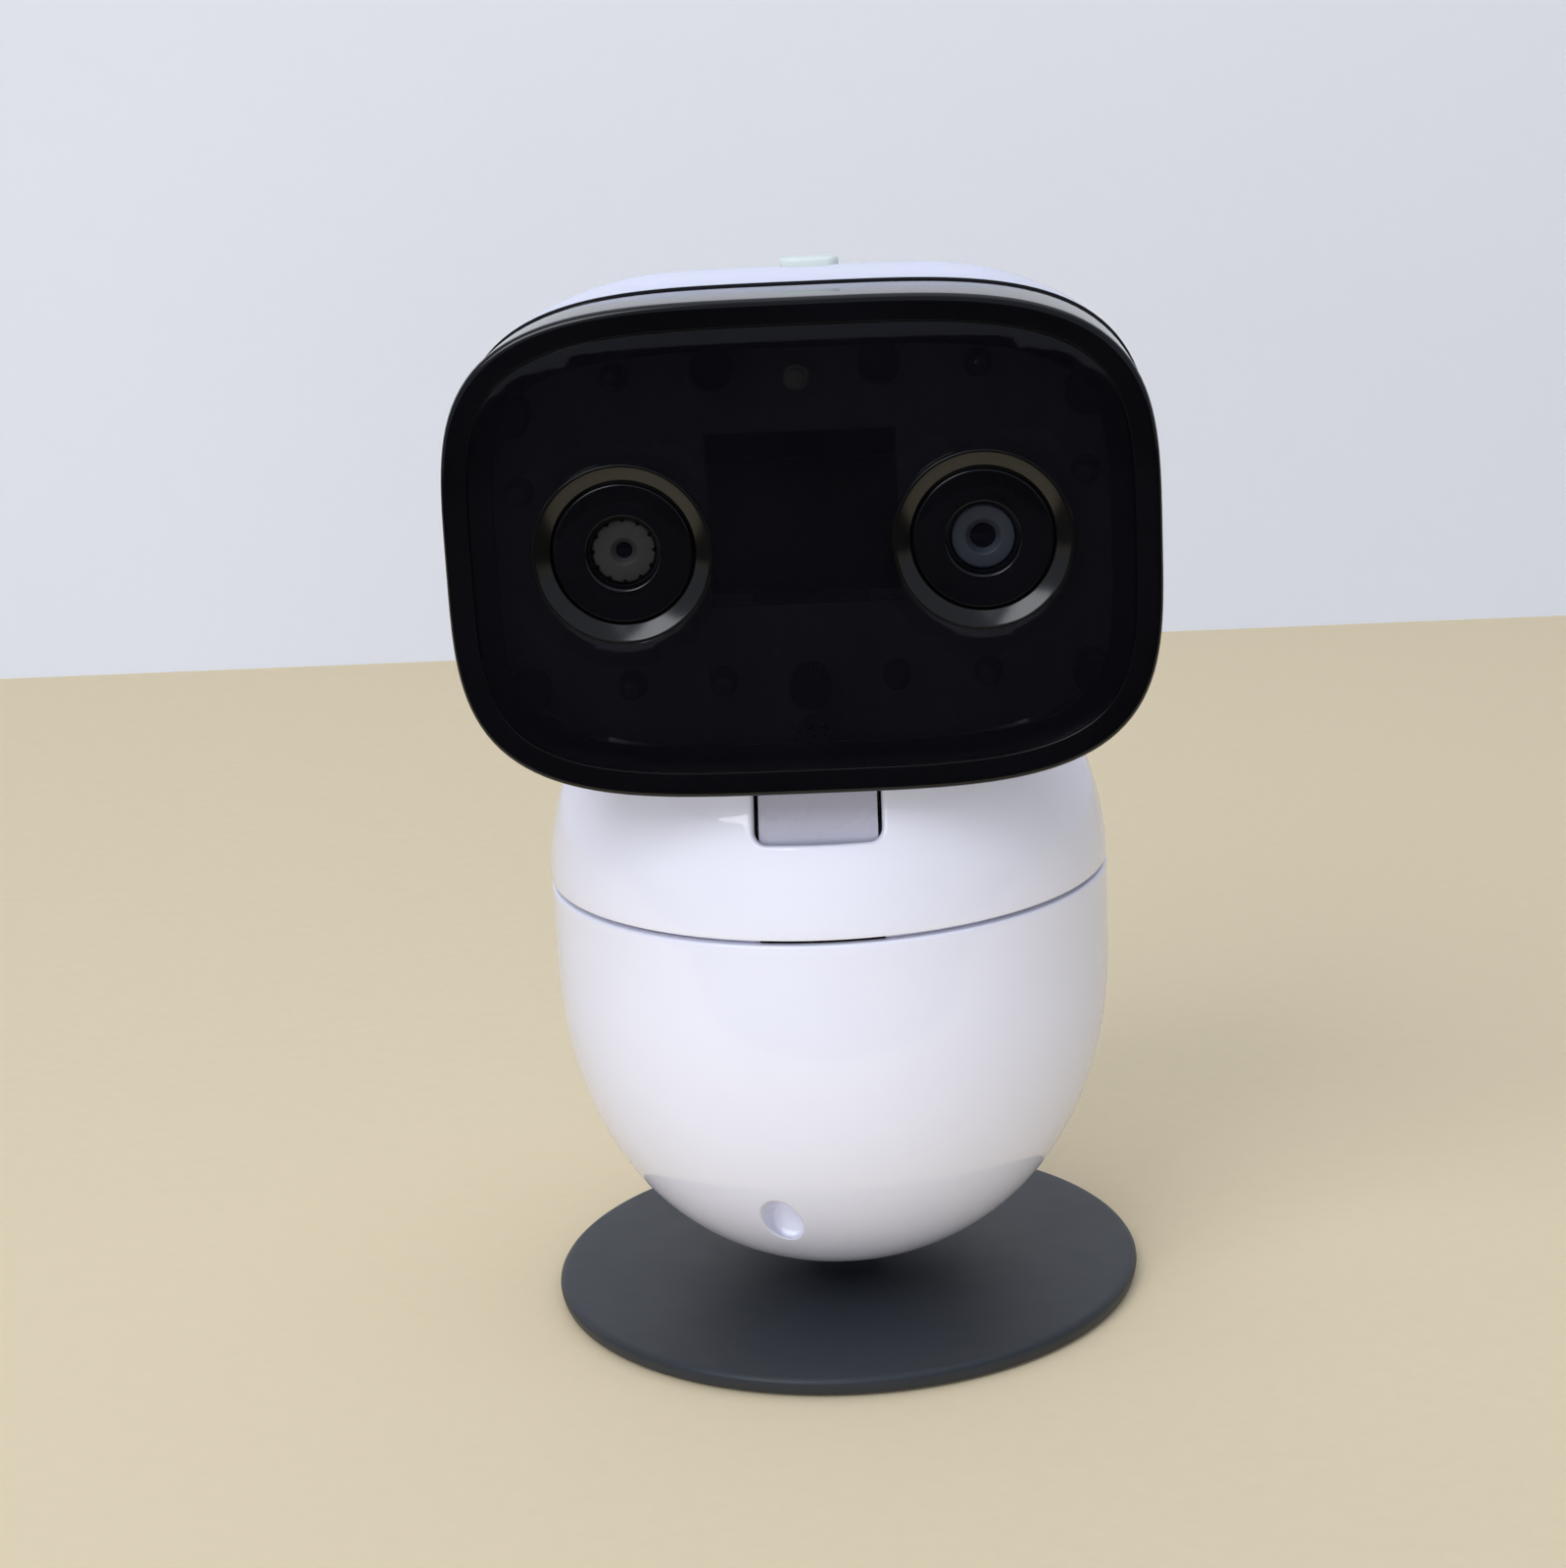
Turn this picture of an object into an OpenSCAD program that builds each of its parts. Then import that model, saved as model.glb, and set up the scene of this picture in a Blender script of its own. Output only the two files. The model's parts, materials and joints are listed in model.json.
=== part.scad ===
/* [Stand] */
// Radius of the round stand disc
disc_r = 41.8; // [40:0.2:46]
// Height of the disc's edge above the table
rim_z = 2.7; // [2.4:0.1:3.2]

/* [Body] */
// Largest radius of the egg-shaped body, also the radius of the dome
body_r = 38.9; // [38.5:0.1:40]
// Height of the seam between the fixed body and the turning dome
seam_z = 62.5; // [62:0.1:63.5]
// How far the fixed body is turned away from straight ahead, in degrees
body_turn = 14.6; // [0:0.2:40]
// Wall thickness of the body shell
wall = 1.6; // [1.4:0.1:1.8]

/* [Head] */
// Half width of the head
head_a = 44.8; // [43:0.2:48]
// Half height of the head
head_b = 31.5; // [30.5:0.1:33]
// Height of the head's centre
head_z = 113.6; // [113:0.1:116]
// Distance of the face in front of the turning axis
face = 40; // [40:0.2:42]
// Depth of the black front housing
bezel_d = 18; // [16:0.5:19]
// Depth of the white back shell
back_d = 14; // [12:0.5:16]
// Half the distance between the two camera eyes
eye_x = 22.4; // [21.5:0.1:23]
// Width of the neck that shows in the dome's slot
neck_w = 15.4; // [14:0.2:16]

/* [Options] */
// Number of teeth on the two large gears
gear_teeth = 40; // [40]
// Number of teeth on the two small gears
pinion_teeth = 12; // [12]

/* [Hidden] */

big = 72;                      // facets on large round parts
mid = 40;                      // facets on middle-sized round parts
sml = 24;                      // facets on small round parts
egg_z = 51.2;                  // height at which the lower shell is widest
egg_h = 46.0;                  // height of the curved part below that
egg_n = 2.2;                   // exponent of the lower shell's curve
pivot_z = 14;                  // height of the stand's lean axis
slot_w = 17;                   // width of the dome's slot
slot_z = 75;                   // height of the slot's lower end
slot_back = 7.5;               // how far the slot runs behind the turning axis
dome_in = body_r - 1.5;        // inner radius of the dome
drum_r = body_r - 2.7;         // outer radius of the neck drum
tooth_m = 0.7;                 // gear module
gear_r = gear_teeth * tooth_m / 2;
pinion_r = pinion_teeth * tooth_m / 2;
centre_d = gear_r + pinion_r + 0.05;
pan_gear_at = 135;             // direction of the turning pinion, degrees
tilt_gear_at = 160;            // direction of the tilting pinion, from the front upwards
back_y = bezel_d - face;       // where the black housing meets the back shell
rear_y = back_y + back_d;      // rearmost point of the head
hole_z = 20.5;                 // height of the blind hole in the body's front
button_x = 1.7;                // sideways place of the top button
button_y = back_y + 5;         // depth of the top button
top_z = head_z + head_b + 1.6; // highest point of the back shell

charcoal = [0.13, 0.14, 0.16];
white = [0.92, 0.92, 0.95];
black = [0.02, 0.02, 0.03];
steel = [0.62, 0.62, 0.64];
board = [0.05, 0.30, 0.16];
nylon = [0.86, 0.84, 0.76];
dark = [0.10, 0.10, 0.11];

// ---- curves -------------------------------------------------------------

// radius of the egg's lower half at height z, moved inwards by t
function egg_r(z, t) =
  (body_r - t) * pow(1 - pow(min(1, abs(egg_z - z) / (egg_h - t)), egg_n), 1 / egg_n);

// outline of the lower shell from its floor up to the seam
function egg_side(t, top) =
  concat([for (k = [0 : 15]) let (s = 90 * (1 - pow(1 - k / 15, 1.3)),
           z = egg_z - (egg_h - t) * cos(s)) [egg_r(z, t), z]],
         [[body_r - t, egg_z], [body_r - t, top]]);

function sgn_pow(v, p) = sign(v) * pow(abs(v), p);

// rounded-rectangle outline of the head, moved inwards by t
function head_line(t) =
  [for (k = [0 : 71]) [(head_a - t) * sgn_pow(cos(5 * k), 2 / 3.8),
                       (head_b - t) * sgn_pow(sin(5 * k), 2 / 3.67)]];

function involute(a) = tan(a) * 180 / PI - a;

// half the angle of a tooth at radius r on a gear of n teeth
function tooth_half(n, r) =
  let (rp = n * tooth_m / 2, rb = rp * cos(20))
  90 / n * 0.84 + involute(20) - involute(r <= rb ? 0 : acos(rb / r));

// one gear tooth, centred on direction 0
function tooth(n) =
  let (rp = n * tooth_m / 2, rb = rp * cos(20), ro = rp + 0.85 * tooth_m, ri = rp - 1.3 * tooth_m,
       rs = [ri, max(rb, ri + 0.05), (rb + ro) / 2, ro])
  concat([for (r = rs) [r * cos(-tooth_half(n, r)), r * sin(-tooth_half(n, r))]],
         [for (k = [3 : -1 : 0]) [rs[k] * cos(tooth_half(n, rs[k])), rs[k] * sin(tooth_half(n, rs[k]))]]);

// ---- helpers ------------------------------------------------------------

module body_turned() rotate([0, 0, -body_turn]) children();

// solid of the head's outline between two depths
module head_prism(y0, y1, t = 0) {
  translate([0, y1, head_z]) rotate([90, 0, 0]) linear_extrude(y1 - y0) polygon(head_line(t));
}

// rod along the depth of the head
module yrod(x, z, y0, y1, r, n = sml) {
  translate([x, y1, z]) rotate([90, 0, 0]) cylinder(h = y1 - y0, r = r, $fn = n);
}

// cone along the depth of the head: ra at y0, rb at y1
module ycone(x, z, y0, y1, ra, rb, n = mid) {
  translate([x, y1, z]) rotate([90, 0, 0]) cylinder(h = y1 - y0, r1 = rb, r2 = ra, $fn = n);
}

// rod along X at depth y and height z
module xrod(x0, x1, y, z, r, n = mid) {
  translate([x0, y, z]) rotate([0, 90, 0]) cylinder(h = x1 - x0, r = r, $fn = n);
}

// flat shape in the side plane, centred on the tilt axis
module side_plate(x0, x1) {
  translate([x0, 0, seam_z]) rotate([90, 0, 90]) linear_extrude(x1 - x0) children();
}

// pie slice in the side plane, from the front (0) upwards
module slice(a0, a1, r) {
  polygon(concat([[0, 0]], [for (k = [0 : 8]) let (a = a0 + (a1 - a0) * k / 8)
    [-r * cos(a), r * sin(a)]]));
}

module arc_band(r0, r1, a0, a1) {
  intersection() {
    difference() { circle(r = r1, $fn = big); circle(r = r0, $fn = big); }
    slice(a0, a1, r1 * 1.2);
  }
}

module gear_flat(n, first, last) {
  circle(r = n * tooth_m / 2 - 1.25 * tooth_m, $fn = mid);
  for (k = [first : last]) rotate(k * 360 / n) polygon(tooth(n));
}

module screw_up(x, y, z0, z1, rh, rs) {
  translate([x, y, z0]) cylinder(h = 1.4, r = rh, $fn = sml);
  translate([x, y, z0]) cylinder(h = z1 - z0, r = rs, $fn = sml);
}

module screw_down(x, y, z0, z1, rh, rs) {
  translate([x, y, z1 - 1.2]) cylinder(h = 1.2, r = rh, $fn = sml);
  translate([x, y, z0]) cylinder(h = z1 - z0, r = rs, $fn = sml);
}

deck_at = [for (a = [30, 150, 270]) [28 * cos(a), 28 * sin(a)]];
dome_at = [[26, -12], [-26, -12], [28, 8], [-28, 8]];
cradle_at = [[8.6, 7.2], [-8.6, 7.2], [8.6, -7.2], [-8.6, -7.2]];
head_screw_at = [[-33, 15], [33, 15], [-33, -12], [33, -12]];
led_at = [[22.6, 21.7], [35.4, 7.8], [22.6, -17.3], [11, -17.3]];
post_at = [[35.7, 17.8], [10.3, 22.6], [35.7, -17.5], [0, -18]];

// ---- stand --------------------------------------------------------------

module base_disc() color(charcoal) rotate_extrude($fn = big) difference() {
  union() {
    polygon([[4.05, 1.7], [4.05, 3.4], [12, 3.4], [30, 3.0], [disc_r - 1.2, rim_z],
             [disc_r - 1.2, 0.3], [28.3, 0.3], [28.3, 1.7]]);
    translate([disc_r - 1.2, rim_z - 1.2]) circle(r = 1.2, $fn = sml);
    translate([disc_r - 1.4, 0.3]) square([1, rim_z - 1.5]);
  }
  translate([33.4, 0]) square([4.2, 0.9]);
}

module foot_ring() color(dark) rotate_extrude($fn = big) translate([33.5, 0]) square([4, 0.85]);

module base_weight() color(steel) difference() {
  translate([0, 0, 0.5]) cylinder(h = 1.15, r = 28.1, $fn = big);
  translate([0, 0, 0]) cylinder(h = 3, r = 8.4, $fn = mid);
}

module stand_stem() color(steel) body_turned() difference() {
  union() {
    translate([0, 0, 1.7]) cylinder(h = 9, r = 4, $fn = mid);
    translate([0, 0, 3.5]) cylinder(h = 0.8, r = 5, $fn = mid);
    xrod(-8, 8, 0, pivot_z, 5.5);
  }
  translate([0, 0, 0]) cylinder(h = 6, r = 1.3, $fn = sml);
}

module stem_washer() color(steel) translate([0, 0, 0.9]) difference() {
  cylinder(h = 0.72, r = 8, $fn = mid);
  translate([0, 0, -1]) cylinder(h = 3, r = 1.35, $fn = sml);
}

module stem_screw() color(steel) {
  translate([0, 0, 0.2]) cylinder(h = 0.68, r = 2.8, $fn = sml);
  translate([0, 0, 0.2]) cylinder(h = 5.6, r = 1.25, $fn = sml);
}

// ---- fixed body ---------------------------------------------------------

module shell_solid(t, top) {
  rotate_extrude($fn = big) polygon(concat(egg_side(t, top), [[0, top]]));
}

module front_hole(r, d) {
  rr = egg_r(hole_z, 0);
  translate([0, -rr, hole_z]) rotate([-18, 0, 0]) rotate([90, 0, 0])
    translate([0, 0, -d]) cylinder(h = d + 4, r = r, $fn = sml);
}

module lower_shell() color(white) body_turned() difference() {
  union() {
    difference() {
      shell_solid(0, seam_z - 0.4);
      shell_solid(wall, seam_z + 1);
    }
    intersection() {
      union() {
        for (p = deck_at) translate([p[0], p[1], 12]) cylinder(h = 27.95, r = 3, $fn = sml);
        front_hole(4.1, 6.2);
      }
      shell_solid(0.6, 50);
    }
  }
  translate([0, 0, 0]) cylinder(h = 12, r = 7.6, $fn = mid);
  for (p = deck_at) translate([p[0], p[1], 30]) cylinder(h = 12, r = 1.05, $fn = sml);
  front_hole(2.8, 5);
  translate([0, 20, 19]) rotate([-90, 0, 0]) cylinder(h = 15, r = 4.1, $fn = sml);
  for (i = [-2 : 2], k = [-2 : 2]) if (abs(i) + abs(k) < 4)
    translate([i * 3, 26, 31.2 + k * 3]) rotate([-90, 0, 0]) cylinder(h = 15, r = 0.8, $fn = 16);
}

module stem_cradle() color(nylon) body_turned() difference() {
  intersection() {
    translate([-11, -9.5, 5]) cube([22, 19, pivot_z - 5]);
    shell_solid(wall + 0.05, 40);
  }
  xrod(-8.2, 8.2, 0, pivot_z, 5.55);
  translate([-4.6, -5.6, 0]) cube([9.2, 11.2, pivot_z + 1]);
  translate([0, 0, 0]) cylinder(h = 9, r = 7.7, $fn = mid);
  for (p = cradle_at) translate([p[0], p[1], 9]) cylinder(h = 8, r = 0.9, $fn = sml);
}

module cradle_cap() color(nylon) body_turned() difference() {
  union() {
    translate([-11, -9.5, pivot_z + 0.05]) cube([22, 19, 6.9]);
    for (x = [-6, 6]) translate([x, 0, 20]) cylinder(h = 3.4, r = 2.4, $fn = sml);
  }
  xrod(-8.2, 8.2, 0, pivot_z, 5.55);
  for (p = cradle_at) translate([p[0], p[1], 10]) cylinder(h = 14, r = 1.2, $fn = sml);
  for (x = [-6, 6]) translate([x, 0, 20.4]) cylinder(h = 5, r = 0.8, $fn = sml);
}

module cradle_screws() color(steel) body_turned()
  for (p = cradle_at) screw_down(p[0], p[1], 12.5, pivot_z + 8.15, 2, 0.88);

module main_board() color(board) body_turned() difference() {
  translate([0, 0, 23.45]) cylinder(h = 1.3, r = 22.5, $fn = mid);
  translate([-12, 17.5, 20]) cube([24, 10, 10]);
  for (x = [-6, 6]) translate([x, 0, 20]) cylinder(h = 8, r = 1.1, $fn = sml);
}

module board_screws() color(steel) body_turned()
  for (x = [-6, 6]) screw_down(x, 0, 21, 26, 1.9, 0.78);

module board_chips() color(dark) body_turned() {
  translate([-6, -16, 24.8]) cube([11, 11, 1.6]);
  translate([8, -12, 24.8]) cube([7, 5, 1.4]);
  translate([-17, -6, 24.8]) cube([5, 8, 4.5]);
  for (x = [-12, 12.5]) translate([x, 8, 24.8]) cylinder(h = 7, r = 2.6, $fn = sml);
}

module dc_jack() color(dark) body_turned() {
  difference() {
    union() {
      translate([-4.6, 13.5, 15.4]) cube([9.2, 8.5, 7]);
      translate([0, 21.9, 19]) rotate([-90, 0, 0]) cylinder(h = 4, r = 3.7, $fn = sml);
    }
    translate([0, 16, 19]) rotate([-90, 0, 0]) cylinder(h = 14, r = 2.75, $fn = sml);
  }
  translate([0, 15.5, 19]) rotate([-90, 0, 0]) cylinder(h = 9.3, r = 0.65, $fn = 16);
}

module speaker() color(dark) body_turned() {
  translate([0, 20, 31.2]) rotate([-90, 0, 0]) cylinder(h = 3.5, r = 6, $fn = mid);
  difference() {
    translate([0, 23.4, 31.2]) rotate([-90, 0, 0]) cylinder(h = 3, r = 8.2, $fn = mid);
    translate([0, 24.6, 31.2]) rotate([-90, 0, 0]) cylinder(h = 3, r1 = 3, r2 = 7.4, $fn = mid);
  }
}

module body_deck() color(nylon) body_turned() difference() {
  union() {
    translate([0, 0, 40]) cylinder(h = 2, r = 33, $fn = big);
    translate([0, 0, 41]) cylinder(h = 11.5, r = 6, $fn = mid);
  }
  translate([0, 0, 30]) cylinder(h = 30, r = 4.2, $fn = mid);
  for (p = deck_at) translate([p[0], p[1], 38]) cylinder(h = 6, r = 1.3, $fn = sml);
}

module deck_screws() color(steel) body_turned()
  for (p = deck_at) screw_down(p[0], p[1], 33, 43.25, 2.3, 1.03);

module pan_gear() color(nylon) difference() {
  translate([0, 0, 42.05]) linear_extrude(2.5) rotate(pan_gear_at) gear_flat(gear_teeth, 0, gear_teeth - 1);
  translate([0, 0, 40]) cylinder(h = 8, r = 6.03, $fn = mid);
}

module bearing_washer() color(nylon) translate([0, 0, 44.6]) difference() {
  cylinder(h = 0.5, r = 9, $fn = mid);
  translate([0, 0, -1]) cylinder(h = 3, r = 6.03, $fn = mid);
}

module spindle_ring() color(steel) translate([0, 0, 49.8]) difference() {
  cylinder(h = 1.4, r = 8.4, $fn = mid);
  translate([0, 0, -1]) cylinder(h = 4, r = 6.02, $fn = mid);
}

// ---- turning dome -------------------------------------------------------

module dome_shell() color(white) difference() {
  union() {
    difference() {
      translate([0, 0, seam_z]) sphere(r = body_r, $fn = big);
      translate([0, 0, seam_z]) sphere(r = dome_in, $fn = big);
      translate([-60, -60, -40]) cube([120, 120, seam_z + 40.4]);
    }
    difference() {
      union() {
        translate([0, 0, seam_z - 1.8]) cylinder(h = 4.6, r = body_r - 1.95, $fn = big);
        translate([0, 0, seam_z + 0.4]) cylinder(h = 2.4, r = dome_in + 0.4, $fn = big);
      }
      translate([0, 0, seam_z - 3]) cylinder(h = 8, r = body_r - 2.7, $fn = big);
    }
    intersection() {
      for (p = dome_at) translate([p[0], p[1], 56.05]) cylinder(h = 40, r = 3, $fn = sml);
      translate([0, 0, seam_z]) sphere(r = dome_in + 0.4, $fn = big);
    }
  }
  translate([-slot_w / 2, -60, slot_z + 2]) cube([slot_w, 60 + slot_back, 60]);
  translate([-slot_w / 2 + 1.7, -60, slot_z]) cube([slot_w - 3.4, 60, 8]);
  for (x = [-1, 1]) translate([x * (slot_w / 2 - 1.7), 0, slot_z + 1.7])
    rotate([90, 0, 0]) cylinder(h = 60, r = 1.7, $fn = sml);
  translate([-slot_w / 2, -60, seam_z - 4]) cube([slot_w, 40, 4.3]);
  intersection() {
    translate([-slot_w / 2, -60, seam_z - 4]) cube([slot_w, 60, 12]);
    translate([0, 0, seam_z]) sphere(r = dome_in, $fn = big);
  }
  for (p = dome_at) translate([p[0], p[1], 50]) cylinder(h = 13, r = 1.1, $fn = sml);
}

module turret_frame() color(nylon) difference() {
  union() {
    translate([0, 0, 46]) cylinder(h = 2, r = 31.6, $fn = big);
    translate([0, 0, 45.15]) cylinder(h = 4.3, r = 9, $fn = mid);
    for (p = dome_at) translate([p[0], p[1], 46]) cylinder(h = 10, r = 3, $fn = sml);
    translate([-11.5, -6, 47]) cube([2, 10.4, seam_z - 40.5]);
    translate([9.5, -6, 47]) cube([2, 31.5, seam_z - 33]);
  }
  translate([0, 0, 40]) cylinder(h = 14, r = 6.06, $fn = mid);
  for (p = dome_at) translate([p[0], p[1], 40]) cylinder(h = 20, r = 1.25, $fn = sml);
  xrod(-14, 14, 0, seam_z, 2.02, sml);
  rotate(pan_gear_at) translate([centre_d, 0, 40]) cylinder(h = 14, r = 1.4, $fn = sml);
  xrod(8, 14, -centre_d * cos(tilt_gear_at), seam_z + centre_d * sin(tilt_gear_at), 1.4, sml);
}

module dome_screws() color(steel)
  for (p = dome_at) screw_up(p[0], p[1], 44.55, 61.5, 2.2, 1.08);

module tilt_axle() color(steel) xrod(-11.8, 11.8, 0, seam_z, 2, sml);

module pan_motor() color(steel) rotate(pan_gear_at) translate([centre_d, 0, 0]) difference() {
  translate([0, 0, 48.05]) cylinder(h = 11, r = 8, $fn = mid);
  translate([0, 0, 46]) cylinder(h = 6, r = 1.06, $fn = sml);
}

module tilt_motor() color(steel) difference() {
  xrod(11.55, 22.6, -centre_d * cos(tilt_gear_at), seam_z + centre_d * sin(tilt_gear_at), 8);
  xrod(10, 15.5, -centre_d * cos(tilt_gear_at), seam_z + centre_d * sin(tilt_gear_at), 1.06, sml);
}

module pan_pinion() color(nylon) rotate(pan_gear_at) translate([centre_d, 0, 0]) {
  translate([0, 0, 42.5]) linear_extrude(2.4)
    rotate(180 + 180 / pinion_teeth) gear_flat(pinion_teeth, 0, pinion_teeth - 1);
  translate([0, 0, 44]) cylinder(h = 7.5, r = 1, $fn = sml);
}

module tilt_pinion() color(nylon) {
  side_plate(3, 6) translate([-centre_d * cos(tilt_gear_at), centre_d * sin(tilt_gear_at)])
    rotate(-tilt_gear_at + 180 / pinion_teeth) gear_flat(pinion_teeth, 0, pinion_teeth - 1);
  xrod(5, 15, -centre_d * cos(tilt_gear_at), seam_z + centre_d * sin(tilt_gear_at), 1, sml);
}

// ---- tilting head -------------------------------------------------------

module neck_drum() color(white) difference() {
  union() {
    side_plate(-neck_w / 2, neck_w / 2) arc_band(drum_r - 1.6, drum_r, 2.5, 119);
    side_plate(-1.5, 1.5) {
      slice(8, 112, drum_r - 1);
      circle(r = 6.5, $fn = mid);
    }
    xrod(-neck_w / 2, neck_w / 2, 0, seam_z, 6);
    intersection() {
      side_plate(-neck_w / 2, neck_w / 2) slice(36, 72, 60);
      translate([0, 0, seam_z]) rotate([0, 90, 0]) cylinder(h = 40, r = body_r + 7, $fn = big, center = true);
      translate([-20, 8.2 - face, seam_z + 10]) cube([40, face - 18.2, 60]);
    }
  }
  intersection() {
    side_plate(-neck_w / 2 + 2, neck_w / 2 - 2) slice(20, 100, 60);
    side_plate(-20, 20) circle(r = drum_r - 1.6, $fn = big);
    difference() {
      translate([-30, -60, 0]) cube([60, 120, 140]);
      side_plate(-1.5, 1.5) circle(r = 60, $fn = mid);
      xrod(-20, 20, 0, seam_z, 6);
    }
  }
  xrod(-20, 20, 0, seam_z, 2.06, sml);
}

module tilt_gear() color(nylon) difference() {
  side_plate(3, 6) difference() {
    union() {
      circle(r = 9, $fn = mid);
      intersection() {
        rotate(180 - tilt_gear_at) gear_flat(gear_teeth, -5, 5);
        slice(tilt_gear_at - 52, tilt_gear_at + 52, 40);
      }
    }
    circle(r = 6.02, $fn = mid);
  }
}

module dome_gap() translate([0, 0, seam_z]) sphere(r = body_r + 1.2, $fn = big);

module head_bezel() color(black) difference() {
  union() {
    head_prism(-face, 0.6 - face, 0.7);
    head_prism(0.55 - face, 1.3 - face, 0.22);
    head_prism(1.25 - face, back_y, 0);
  }
  head_prism(2.6 - face, back_y + 1, 2);
  head_prism(-face - 1, 1.55 - face, 3.6);
  head_prism(-face - 1, 4 - face, 6.5);
  post_rods(2.85, 0 - face, 4 - face);
  dome_gap();
  translate([-neck_w / 2 - 0.4, -33.5, 60]) cube([neck_w + 0.8, 30, 32]);
}

module face_window() color([0.04, 0.03, 0.06]) difference() {
  head_prism(0.1 - face, 1.5 - face, 3.65);
  for (x = [-1, 1]) yrod(x * eye_x, head_z + 0.5, -face - 2, 4 - face, 11.3, mid);
}

module eye_ring(s) color(black) difference() {
  yrod(s * eye_x, head_z + 0.5, -face, 3 - face, 11.25, mid);
  ycone(s * eye_x, head_z + 0.5, -face - 0.1, 1.4 - face, 11.15, 8.95);
  yrod(s * eye_x, head_z + 0.5, 1.3 - face, 2.35 - face, 8.95, mid);
  yrod(s * eye_x, head_z + 0.5, 2.2 - face, 4 - face, 7.6, mid);
}

module eye_ring_left() eye_ring(-1);
module eye_ring_right() eye_ring(1);

module eye_disc(s) color(black) difference() {
  yrod(s * eye_x, head_z + 0.5, 1.0 - face, 2.3 - face, 8.7, mid);
  ycone(s * eye_x, head_z + 0.5, 0.9 - face, 1.9 - face, 4.6, 4.15);
  yrod(s * eye_x, head_z + 0.5, 1.8 - face, 3 - face, 4.15, mid);
}

module eye_disc_left() eye_disc(-1);
module eye_disc_right() eye_disc(1);

module lens_barrel(s, r) color(dark) difference() {
  union() {
    yrod(s * eye_x, head_z + 0.5, 2.6 - face, 14 - face, 4, mid);
    yrod(s * eye_x, head_z + 0.5, 5 - face, 12 - face, 5, mid);
  }
  ycone(s * eye_x, head_z + 0.5, 2.5 - face, 3.4 - face, r + 0.7, r);
  yrod(s * eye_x, head_z + 0.5, 3.3 - face, 4.6 - face, r, sml);
}

module lens_barrel_left() difference() {
  lens_barrel(-1, 0.95);
  for (k = [0 : 11]) color(dark) translate([-eye_x, 0, head_z + 0.5]) rotate([0, 30 * k, 0])
    yrod(4, 0, 2.5 - face, 3.6 - face, 0.4, 12);
}
module lens_barrel_right() lens_barrel(1, 1.5);

module lens_glass(s, r) color([0.03, 0.03, 0.05]) intersection() {
  yrod(s * eye_x, head_z + 0.5, 3.5 - face, 4.55 - face, r - 0.03, sml);
  translate([s * eye_x, 3.6 - face + 3 * r, head_z + 0.5]) sphere(r = 3 * r, $fn = mid);
}

module lens_glass_left() lens_glass(-1, 0.95);
module lens_glass_right() lens_glass(1, 1.5);

module sensor_board() color(board) translate([-32, 16 - face, head_z - 8]) cube([64, 1.2, 17]);

module lens_holders() color(dark)
  for (x = [-1, 1]) difference() {
    translate([x * eye_x - 6.5, 12.1 - face, head_z - 6]) cube([13, 3.85, 13]);
    yrod(x * eye_x, head_z + 0.5, 11 - face, 14.1 - face, 4.05, mid);
  }

module led_board() color(board) difference() {
  head_prism(7 - face, 8 - face, 5.5);
  for (x = [-1, 1]) yrod(x * eye_x, head_z + 0.5, 6 - face, 9 - face, 6.2, mid);
  dome_gap();
  translate([-12, 6 - face, head_z - 8]) cube([24, 3, 22]);
}

module ir_leds() color([0.25, 0.22, 0.3])
  for (x = [-1, 1], p = led_at) {
    yrod(x * p[0], head_z + p[1], 3.6 - face, 6.95 - face, 1.5);
    translate([x * p[0], 3.6 - face, head_z + p[1]]) sphere(r = 1.5, $fn = sml);
    yrod(x * p[0], head_z + p[1], 6.1 - face, 6.95 - face, 1.8);
  }

module post_rods(r, y0, y1) {
  for (x = [-1, 1], k = [0 : 2]) yrod(x * post_at[k][0], head_z + post_at[k][1], y0, y1, r);
  yrod(0, head_z + post_at[3][1], y0, y1, r);
}

module window_posts() color(dark) post_rods(2.67, 1.6 - face, 6.95 - face);

module light_sensor() color([0.3, 0.3, 0.28]) {
  translate([-1.6, 5 - face, head_z + 19.3]) cube([3.2, 1.95, 3.2]);
  yrod(0, head_z + 20.9, 4 - face, 5.2 - face, 1.1);
}

module microphone() color(steel) yrod(0, head_z - 24.4, 4.6 - face, 6.95 - face, 2);

module head_board() color(board) difference() {
  translate([-29, 20 - face, head_z - 9]) cube([58, 1.3, 28.4]);
  dome_gap();
}

module head_chips() color(dark) {
  translate([-8, 21.35 - face, head_z - 4]) cube([14, 1.6, 14]);
  translate([12, 21.35 - face, head_z + 2]) cube([8, 1.4, 6]);
  translate([-24, 21.35 - face, head_z - 2]) cube([10, 2.8, 7]);
}

module button_switch() color(dark) difference() {
  union() {
    translate([button_x - 3, button_y - 3, head_z + 20.8]) cube([6, 6, 4]);
    translate([button_x - 4, 20 - face, head_z + 19.5]) cube([8, button_y + 3 - 20 + face, 1.35]);
  }
  translate([button_x, button_y, head_z + 22]) cylinder(h = 4, r = 1.5, $fn = sml);
}

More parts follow.
